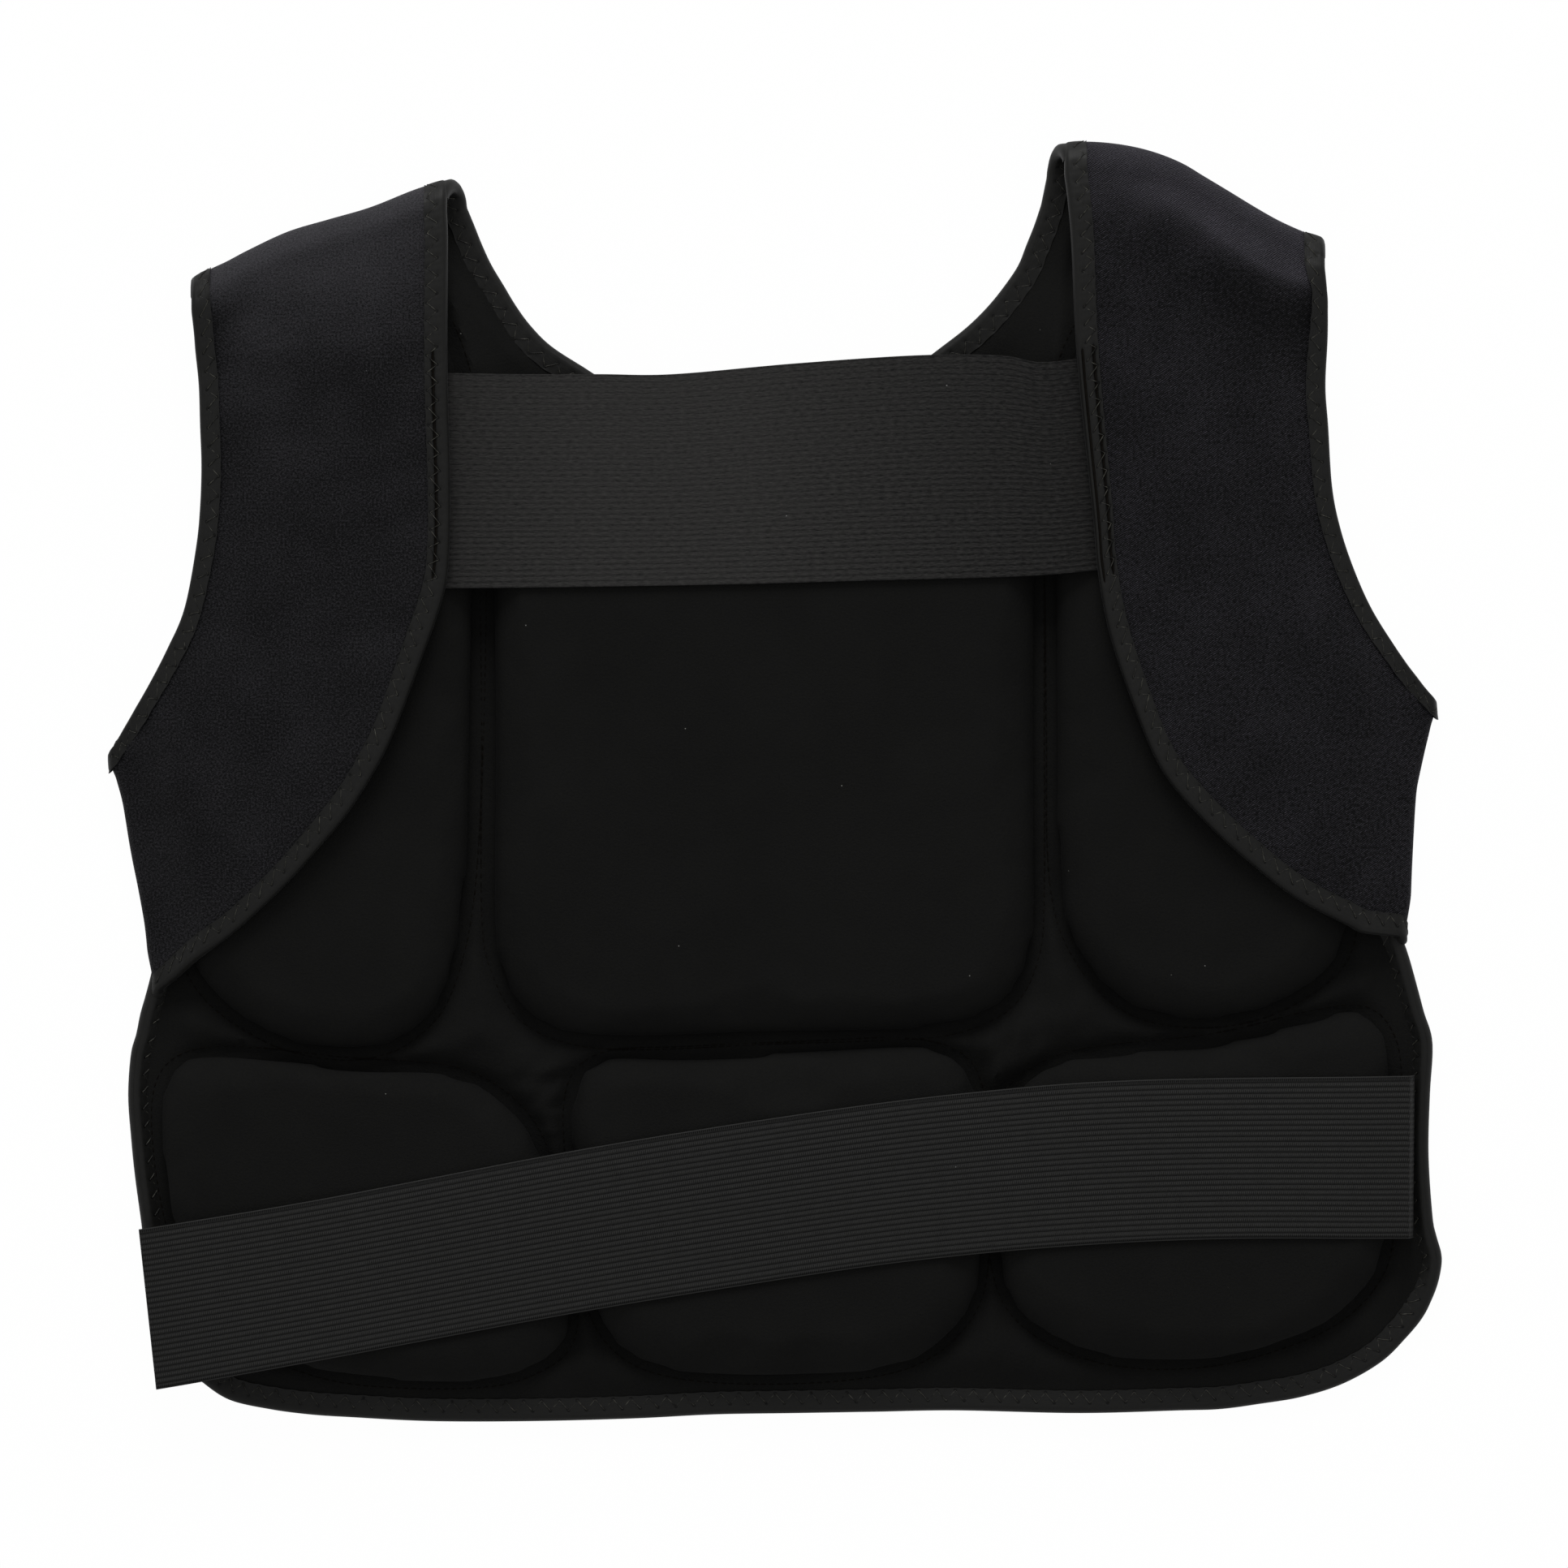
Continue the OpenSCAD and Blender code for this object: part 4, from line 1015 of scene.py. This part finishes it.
def front_outline(draw_in):
    """Outline of the flat front inside its bindings and folds."""
    sides = {}
    for side in (RIGHT, LEFT):
        shoulder = beside(shoulder_fold(side), -side * draw_in)[2:-2]
        arm = beside(armhole_front(side), -side * 1.2)
        fold = beside(side_fold(side), -side * draw_in)[3:-2]
        sides[side] = np.vstack([shoulder, arm, fold])
    neck = beside(smooth_line(NECK, 2.0), -1.2)
    hem = beside(smooth_line(HEM, 2.5), 1.2)[4:-6]
    loop = np.vstack([neck, sides[RIGHT], hem[::-1], sides[LEFT][::-1]])
    keep = [0]
    for i in range(1, len(loop)):
        if np.linalg.norm(loop[i] - loop[keep[-1]]) > 1.6:
            keep.append(i)
    return loop[keep]


def spread(loop, distance):
    """The closed loop moved outwards."""
    out = -turned(unit(np.roll(loop, -1, axis=0) - np.roll(loop, 1, axis=0)))
    return loop + (-distance if inside(loop, (loop + out)[:1])[0] else distance) * out


PAD_LOOPS = {name: spread(smooth_line(points, 4.0, closed=True), PAD_SPREAD)
             for name, points in PADS.items()}


def pad_depths(xy):
    """How deep each point lies inside the pad that it is nearest to; negative outside."""
    return np.max([depth_in(loop, xy) for loop in PAD_LOOPS.values()], axis=0)


def face_height(xy):
    """Lower side of the neoprene: puffed fields under the pads, flat behind the loop tape."""
    patch_low, patch_high = np.array(LOOP_PATCH)
    from_patch = np.maximum(patch_low - 1 - xy, xy - patch_high - 1).max(axis=1)
    puff = EMBOSS_T * np.sin(np.pi / 2 * np.clip((pad_depths(xy) + 5) / 9, 0, 1))
    return SHELL_Z + 0.02 - puff * eased(from_patch / 3)


def make_outer_face():
    """The neoprene face: quilted fields under the pads, and the rolls over the shoulders."""
    outline = front_outline(0.0)
    xy, triangles = filled(outline, 3.2)
    lift = rim_lift(xy)
    parts = [slab_part(xy, triangles, LINING_Z - 0.05 + lift, face_height(xy) + lift)]
    parts += [quilting_row(loop, face_height, -1) for loop in PAD_LOOPS.values()]
    for side in (LEFT, RIGHT):
        fold = stretch(shoulder_fold(side), SEW_IN, SEW_IN, 60)
        net = arc_rows(fold, side, SHOULDER_R, np.radians(np.arange(-90, 99, 9)))
        normals = net_normals(net)
        normals *= np.sign(normals[10, 30, 1])
        parts.append(cloth_part(net, net - NEOPRENE_T * normals, net_uv(net)))
    return make_piece("outer_face", parts, [NEOPRENE_RIGHT, QUILTING_THREAD_AND_CREASE_SHADE])


def side_roll(xy):
    """How much the vest's side edges curl up: 1 along the waist, 0 at the hem and underarm."""
    low, high = WAIST
    return eased((xy[:, 1] - low) / 34) * eased((high - xy[:, 1]) / 18)


def rim_lift(xy):
    """Height by which the cloths follow the curled side edges."""
    rolled = np.clip(ROLL_IN * math.cos(SIDE_ROLL) - gap_to(smooth_line(HEM, 4.0), xy), 0, None)
    return math.tan(SIDE_ROLL) * rolled * side_roll(xy)


def web_height(xy):
    """Upper side of the lining between the pads, drawn up a little between their seams."""
    depth = pad_depths(xy)
    out = np.clip(-depth, 0, None)
    rim = gap_to(closed_loop(front_outline(1.5)), xy)
    tent = WEB_RISE * (1 - np.exp(-out / 6)) * eased((rim - 6) / 16)
    tent *= 1 + 0.1 * ripple(xy, 14, 5)
    wrinkles = sum(ripple(xy * drawn, size, seed)
                   * np.exp(-(np.linalg.norm(xy - place, axis=1) / reach) ** 2)
                   for place, reach, drawn, size, seed in WEB_WRINKLES)
    # At the neck the lining falls from the pads' upper corners to the edge, in soft folds.
    by_neck = eased((xy[:, 1] - 128) / 14) * eased((rim - 3) / 14)
    folds = np.max([fold_line(xy, line, 2.2, 6, 12) for line in NECK_FOLDS], axis=0)
    drape = NECK_DRAPE * np.exp(-(out / 14) ** 2) * eased((16 - depth) / 8)
    drape += NECK_FOLD_RISE * folds * eased((4 - depth) / 5)
    tent = np.where(depth < 0, tent + WRINKLE_RISE * wrinkles * eased(out / 3), 0)
    return WEB_TOP_Z + (1 - by_neck) * tent + by_neck * drape


def quilting_row(loop, height, up):
    """A row of small stitches along a pad's outline."""
    row = resample(closed_loop(spread(loop, QUILT_OUT)), 0.5)
    per = int(QUILT_STITCH / 0.5)
    first = np.arange(0, len(row) - per - 1, per)
    flat = row[first[:, None] + np.linspace(0, per - 1, 4).astype(int)]
    z = height(flat.reshape(-1, 2)).reshape(flat.shape[:2])
    bow = up * np.array([-0.3, 0.08, 0.08, -0.3])
    middle = np.concatenate([flat, (z + bow)[..., None]], axis=-1)
    run = first[:, None] + np.arange(4)
    return thread_tubes(middle, np.broadcast_to([0.0, 0.0, float(up)], middle.shape), run, 0.2)


def make_lining_web():
    outline = front_outline(1.5)
    xy, triangles = filled(outline, 2.6)
    lift = rim_lift(xy)
    cloth = slab_part(xy, triangles, web_height(xy) + lift, LINING_Z + lift)
    rows = [quilting_row(loop, web_height, 1) for loop in PAD_LOOPS.values()]
    return make_piece("lining_web", [cloth] + rows, [LINING, QUILTING_THREAD_AND_CREASE_SHADE])


PAD_NET = 4.5
PAD_PRESSURE = 4.0
SWELL_ROOM = 0.6
PAD_UNEVEN = 0.35


def pad_form(loop):
    """Closed starting form of a pad: steep sides, a rounded shoulder, a flat top."""
    base = LINING_Z + 0.2
    top = PAD_TOP_Z - SWELL_ROOM
    centre = loop.mean(axis=0)
    rings = [np.column_stack([spread(loop, -inset), np.full(len(loop), base + rise * (top - base))])
             for inset, rise in PAD_PROFILE]
    flat = rings[-1][:, :2]
    for share in (0.3, 0.6, 0.85):
        rings.append(np.column_stack([flat + (centre - flat) * share, np.full(len(loop), top)]))
    count = len(loop)
    faces = net_faces(len(rings), count, wrap=True).tolist()
    end = count * len(rings)
    faces += [[end - count + j, end - count + (j + 1) % count, end] for j in range(count)]
    faces += [[(j + 1) % count, j, end + 1] for j in range(count)]
    points = np.vstack(rings + [[[*centre, top]], [[*centre, base]]])
    return points, faces, points[:, :2], 0


def mesh_points(mesh):
    flat = np.empty(len(mesh.vertices) * 3)
    mesh.vertices.foreach_get("co", flat)
    return flat.reshape(-1, 3)


def set_points(mesh, points):
    mesh.vertices.foreach_set("co", points.ravel())
    mesh.update()


def applied(piece):
    """The piece's mesh with its modifiers applied."""
    graph = bpy.context.evaluated_depsgraph_get()
    mesh = bpy.data.meshes.new_from_object(piece.evaluated_get(graph))
    piece.modifiers.clear()
    piece.data = mesh
    return mesh


def swell(piece, frames=20, cap=0.0022):
    """Air pressure rounds the pad under its lining; no point may move far."""
    before = mesh_points(piece.data)
    cloth = piece.modifiers.new("Swell", "CLOTH")
    cloth.settings.use_pressure = True
    cloth.settings.uniform_pressure_force = PAD_PRESSURE
    cloth.settings.effector_weights.gravity = 0.0
    cloth.settings.quality = 4
    cloth.point_cache.frame_start = 1
    cloth.point_cache.frame_end = frames
    for step in range(1, frames + 1):
        bpy.context.scene.frame_set(step)
    graph = bpy.context.evaluated_depsgraph_get()
    after = mesh_points(piece.evaluated_get(graph).data)
    piece.modifiers.clear()
    bpy.context.scene.frame_set(1)
    move = after - before
    far = np.linalg.norm(move, axis=1, keepdims=True)
    set_points(piece.data, before + move * np.minimum(1, cap / np.maximum(far, 1e-9)))


def make_pad(name):
    loop = PAD_LOOPS[name]
    piece = make_piece("quilted_" + name, [pad_form(loop)], [LINING])
    remesh = piece.modifiers.new("Even net", "REMESH")
    remesh.mode = "VOXEL"
    remesh.voxel_size = PAD_NET * MM
    soften = piece.modifiers.new("Soften", "SMOOTH")
    soften.factor = 0.5
    soften.iterations = 5
    applied(piece)
    swell(piece)
    rounding = piece.modifiers.new("Rounding", "SUBSURF")
    rounding.levels = rounding.render_levels = 1
    mesh = applied(piece)
    points = mesh_points(mesh) / MM
    xy = points[:, :2]
    depth = depth_in(loop, xy)
    lift = eased((points[:, 2] - LINING_Z) / 10)
    uneven = PAD_UNEVEN * ripple(xy, 38, len(name)) + 0.12 * ripple(xy, 12, 3 + len(name))
    pulls = 0.15 * ripple(xy, 7, 31) * eased((12 - depth) / 8)
    points[:, 2] += lift * (uneven - PAD_UNEVEN + pulls)
    points[:, 2] = np.clip(points[:, 2], LINING_Z + 0.1, PAD_TOP_Z + 0.2)
    set_points(mesh, points * MM)
    mesh.polygons.foreach_set("use_smooth", [True] * len(mesh.polygons))
    mesh.materials.clear()
    mesh.materials.append(LINING)
    return piece


# ---- Elastics and fasteners ----

# Share of the band's length at which the right yoke catches it
BAND_CAUGHT = 0.93
# The strap rises over its hook tape and droops at its free end: from what x, and how far
HOOKS_RISE = (-140, 1.5)
END_DROOP = (-214, 3.5)


def ribbed_cloth(low, top, ribs, relief, base_z, thick):
    """A ribbed elastic between its two edges, and its width. Its ribs stand on base_z."""
    v = np.linspace(0, 1, ribs * RIB_STEPS + 1)[:, None, None]
    flat = (1 - v) * low[None] + v * top[None]
    rib = relief * np.abs(np.sin(np.pi * (v * ribs % 1.0))) ** 0.6
    rib = rib * np.where((v * ribs < 0.5) | (v * ribs > ribs - 0.5), 0.6, 1.0)
    width = np.linalg.norm(top - low, axis=1).mean()
    uv = np.stack(np.broadcast_arrays(run_along((low + top) / 2)[None, :], v[..., 0] * width),
                  axis=-1)
    net = np.concatenate([flat, base_z + rib * np.ones((1, flat.shape[1], 1))], axis=-1)
    under = net.copy()
    under[..., 2] = base_z[..., 0] - thick
    return cloth_part(net, under, uv), width


def make_back_band():
    """Elastic across the back, its ends caught under the yokes' inner bindings."""
    low, top = (smooth_line(edge, -BAND_STEPS) for edge in (BAND_LOW, BAND_TOP))
    ribs = round(BAND_W / BAND_RIB)
    t = np.linspace(0, 1, BAND_STEPS)
    v = np.linspace(0, 1, ribs * RIB_STEPS + 1)[:, None]
    bulge = np.sin(np.pi * t) * (0.3 + 0.7 * np.sin(np.pi * v))
    # Its upper edge puckers a little where the right yoke catches it.
    near_end = t - BAND_CAUGHT
    waves = 0.5 * np.exp(-(near_end / 0.03) ** 2) * np.sin(near_end * 260) * eased((v - 0.5) * 2)
    thick = BAND_T - BAND_RELIEF
    base_z = BAND_Z + thick + (bulge + waves)[..., None]
    cloth, _ = ribbed_cloth(low, top, ribs, BAND_RELIEF, base_z, thick)
    return make_piece("ribbed_back_band", [cloth], [BAND_CLOTH])


def strap_height(x):
    """Underside of the waist strap: up from its sewn end, and over the hook tape."""
    from_end = STRAP_END_X - x
    turn = np.sin(np.pi / 2 * np.clip(from_end / 3, 0, 1))
    climb = 0.78 * turn + 0.22 * eased(from_end / 30)
    (hooks_x, rise), (droop_x, fall) = HOOKS_RISE, END_DROOP
    over_hooks = rise * eased((hooks_x - x) / 24)
    droop = fall * np.clip((droop_x - x) / 21, 0, 1) ** 2
    return STRAP_END_Z + (BAND_Z - STRAP_END_Z) * climb + over_hooks - droop


def strap_edges():
    """Lower and upper edge of the strap, in matching steps that are finer at its sewn end."""
    steps = np.concatenate([[0, 0.0012, 0.0025, 0.0038, 0.0052, 0.0066],
                            np.linspace(0.009, 1, 196)])
    edges = []
    for points in (STRAP_LOW, STRAP_TOP):
        line = smooth_line(points, 1.0)
        at = steps * (len(line) - 1)
        edges.append(read_at(at, np.arange(len(line)), line))
    return edges


def make_waist_strap():
    """Heavy elastic, sewn in at the right side, its hooked end free at the left."""
    low, top = strap_edges()
    x = ((low + top) / 2)[:, 0]
    lie = 0.25 * ripple(np.column_stack([x, 0 * x]), 60, 41) - 0.1
    z = (strap_height(x) + np.clip(lie, 0, 0.4))[None, :, None] + STRAP_T
    cloth, width = ribbed_cloth(low, top, STRAP_RIBS, STRAP_RELIEF, z, STRAP_T)
    return make_piece("ribbed_waist_strap", [cloth], [strap_elastic(width / STRAP_RIBS)])


def make_hook_patch():
    """Hook tape sewn under the free end of the waist strap, its hooks facing down."""
    low, top = strap_edges()
    x = ((low + top) / 2)[:, 0]
    span = (x > HOOK_SPAN[0]) & (x < HOOK_SPAN[1])
    low, top = low[span], top[span]
    v = np.linspace(0.06, 0.94, 40)[:, None, None]
    flat = (1 - v) * low[None] + v * top[None]
    up = np.broadcast_to(strap_height(x[span])[None, :, None] - 0.05, flat.shape[:2] + (1,))
    hooks = 0.25 * ripple(flat.reshape(-1, 2), 3, 77).reshape(up.shape)
    net = np.concatenate([flat, up], axis=-1)
    under = np.concatenate([flat, up - HOOK_T + hooks], axis=-1)
    return make_piece("hook_tape", [cloth_part(net, under, net_uv(net))], [HOOKS])


def make_loop_patch():
    """Loop tape sewn on the outer face, where the strap's hooks close."""
    (x0, y0), (x1, y1) = LOOP_PATCH
    x, y = np.meshgrid(np.linspace(x0, x1, 24), np.linspace(y0, y1, 42))
    xy = np.column_stack([x.ravel(), y.ravel()])
    rim = np.minimum.reduce([xy[:, 0] - x0, x1 - xy[:, 0], xy[:, 1] - y0, y1 - xy[:, 1]])
    fuzz = 0.12 * ripple(xy, 4, 55)
    low = 0.1 + 0.35 * (1 - eased(rim / 3)) + fuzz * eased(rim / 3)
    net = np.column_stack([xy, np.full(len(xy), SHELL_Z)]).reshape(*x.shape, 3)
    under = np.column_stack([xy, low]).reshape(*x.shape, 3)
    return make_piece("loop_tape", [cloth_part(net, under, net_uv(net))], [LOOPS])


# ---- Putting the vest together ----

# Name of each side, as used in the pieces' names
SIDE_NAME = {LEFT: "left", RIGHT: "right"}


def declare(piece, nodes, slot, body, side=None, **cloth):
    """Hides the CAD parts that the piece stands for, and attaches the piece to the body it rides
    on;
    a piece with a side has its place baked into its mesh instead, and its body is not used. slot is
    not used. The sheet's facts in cloth are not used."""
    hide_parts(*nodes)
    if side is None:
        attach(piece, body)
    else:
        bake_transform(piece)


def tape_piece(name, marks, slot_gap, body, side=None, caught=None):
    finishes = [TAPE, THREAD] + ([QUILTING_THREAD_AND_CREASE_SHADE] if caught else [])
    piece = make_piece(name, tape_parts(*marks, slot_gap, caught), finishes)
    length = float(np.linalg.norm(np.diff(marks[0], axis=0), axis=1).sum()) * MM
    node = name.replace("edge_tape", "binding").replace("tape", "binding")
    declare(piece, [node], "binding_tape", body, side, flat=(0.022, length), held="folded",
            rests_on=[])


def outline_area(loop):
    x, y = loop.T
    return abs(float(x @ np.roll(y, -1) - y @ np.roll(x, -1))) / 2 * MM * MM


# The outer face's rolls over the shoulders add to its outline; the web is a little smaller.
ROLLS_SHARE = 1.06
WEB_SHARE = 0.98


def build_front():
    area = outline_area(front_outline(0.0)) * ROLLS_SHARE
    declare(make_outer_face(), ["outer_shell"], "neoprene", "front", flat=(0.49, 0.46),
            held="laid", rests_on=["loop_tape"], area=area)
    declare(make_lining_web(), ["lining"], "lining_cloth", "front", flat=(0.49, 0.46),
            held="laid", rests_on=["outer_face"], area=area * WEB_SHARE)
    for name in PADS:
        declare(make_pad(name), [name], "lining_cloth", "front")
    declare(make_loop_patch(), ["loop_patch"], "loop_tape", "front", flat=(0.045, 0.082),
            held="laid", rests_on=["outer_face"])
    neck = joined(over_marks(shoulder_fold(LEFT), 7.0), flat_marks(smooth_line(NECK, 2.0), -1),
                  turned_round(over_marks(shoulder_fold(RIGHT), 6.0)))
    tape_piece("neck_edge_tape", neck, FRONT_SLOT, "front")
    for side in (LEFT, RIGHT):
        arm = joined(over_marks(shoulder_fold(side)[::-1], 0.0),
                     flat_marks(armhole_front(side), -side))
        tape_piece(SIDE_NAME[side] + "_armhole_edge_tape", arm, FRONT_SLOT, "front")
    tape_piece("hem_edge_tape", rolled_marks(smooth_line(HEM, 2.0)), FRONT_SLOT, "front")


# How far in from each yoke's inner edge the band's end pulls creases into the tape
BAND_CREASES = {LEFT: (5.4,), RIGHT: (2.3, 6.6)}


def band_end(edge):
    """1 along the stretch where the back band's end is caught."""
    return eased((edge[:, 1] - 70) / 6) * eased((162 - edge[:, 1]) / 6)


def net_area(net):
    corners = net.reshape(-1, 3)[net_faces(*net.shape[:2])]
    a, b, c, d = corners.transpose(1, 0, 2)
    return float(np.linalg.norm(np.cross(c - a, d - b), axis=1).sum()) / 2 * MM * MM


def build_back():
    for side in (LEFT, RIGHT):
        yoke_name = SIDE_NAME[side] + "_yoke"
        net = yoke_net(side)
        declare(make_yoke(side, net, yoke_name + "_cloth"), [yoke_name], "neoprene", "back", side,
                flat=(0.13, 0.33), held="folded",
                rests_on=["quilted_" + SIDE_NAME[side] + "_chest_pad"], area=net_area(net))
        tape_piece(yoke_name + "_inner_tape", yoke_marks(net, 0, 1), YOKE_SLOT, "back", side,
                   (band_end, BAND_CREASES[side]))
        tape_piece(yoke_name + "_arm_tape", yoke_marks(net, -1, -1), YOKE_SLOT, "back", side)
    declare(make_back_band(), ["back_band"], "back_elastic", "back", flat=(0.24, 0.08),
            held="stretched", rests_on=["quilted_centre_chest_pad"])


def build_strap():
    declare(make_waist_strap(), ["waist_strap"], "strap_elastic", "strap", "strap",
            flat=(0.48, 0.06), held="laid", rests_on=["quilted_centre_belly_pad"])
    declare(make_hook_patch(), ["hook_patch"], "hook_tape", "strap", flat=(0.07, 0.054),
            held="laid", rests_on=["ribbed_waist_strap"])


# ---- Studio ----

WHITE = (1, 1, 1, 1)
ROOM_LIGHT = 0.58
FLOOR_REACH = 6.0
FLOOR_Z = -0.0004
CAMERA_PLACE = (0.0041, -0.0011, 3.01)
CAMERA_LENS = 185


def pale_floor():
    """A matt white sheet: white to the camera, with the vest's soft contact shadow."""
    material, add = blank_finish("white_backdrop_paper")
    paper = add("BsdfDiffuse", colour("#fcfcfc"))
    glow = add("Emission", WHITE, 1.0)
    path = add("LightPath")
    share = add("Math", path.outputs["Is Camera Ray"], 0.98, operation="MULTIPLY")
    add("OutputMaterial", add("MixShader", share, paper, glow))
    mesh = bpy.data.meshes.new("floor")
    corners = [(-1, -1), (1, -1), (1, 1), (-1, 1)]
    mesh.from_pydata([(FLOOR_REACH * x, FLOOR_REACH * y, FLOOR_Z) for x, y in corners], [],
                     [(0, 1, 2, 3)])
    mesh.materials.append(material)
    floor = bpy.data.objects.new("floor", mesh)
    bpy.context.scene.collection.objects.link(floor)


def soft_lamp(name, place, size, power):
    lamp = bpy.data.lights.new(name, "AREA")
    lamp.shape = "SQUARE"
    lamp.size = size
    lamp.energy = power
    holder = bpy.data.objects.new(name, lamp)
    holder.location = place
    holder.rotation_euler = Vector(place).to_track_quat("Z", "Y").to_euler()
    bpy.context.scene.collection.objects.link(holder)


def build_studio():
    scene = bpy.context.scene
    scene.view_settings.view_transform = "Standard"
    pale_floor()
    soft_lamp("window_lamp", place=(-0.2, 3.0, 1.6), size=1.6, power=70)
    world = bpy.data.worlds.new("pale_room")
    add = cleared(world)
    path = add("LightPath")
    room = add("Background", WHITE, ROOM_LIGHT)
    seen = add("Background", WHITE, 1.0)
    both = add("MixShader", path.outputs["Is Camera Ray"], room, seen)
    add("OutputWorld", both)
    scene.world = world
    lens = bpy.data.cameras.new("camera")
    lens.sensor_width = 36
    lens.lens = CAMERA_LENS
    camera = bpy.data.objects.new("camera", lens)
    camera.location = CAMERA_PLACE
    scene.collection.objects.link(camera)
    scene.camera = camera


build_front()
build_back()
build_strap()
build_studio()
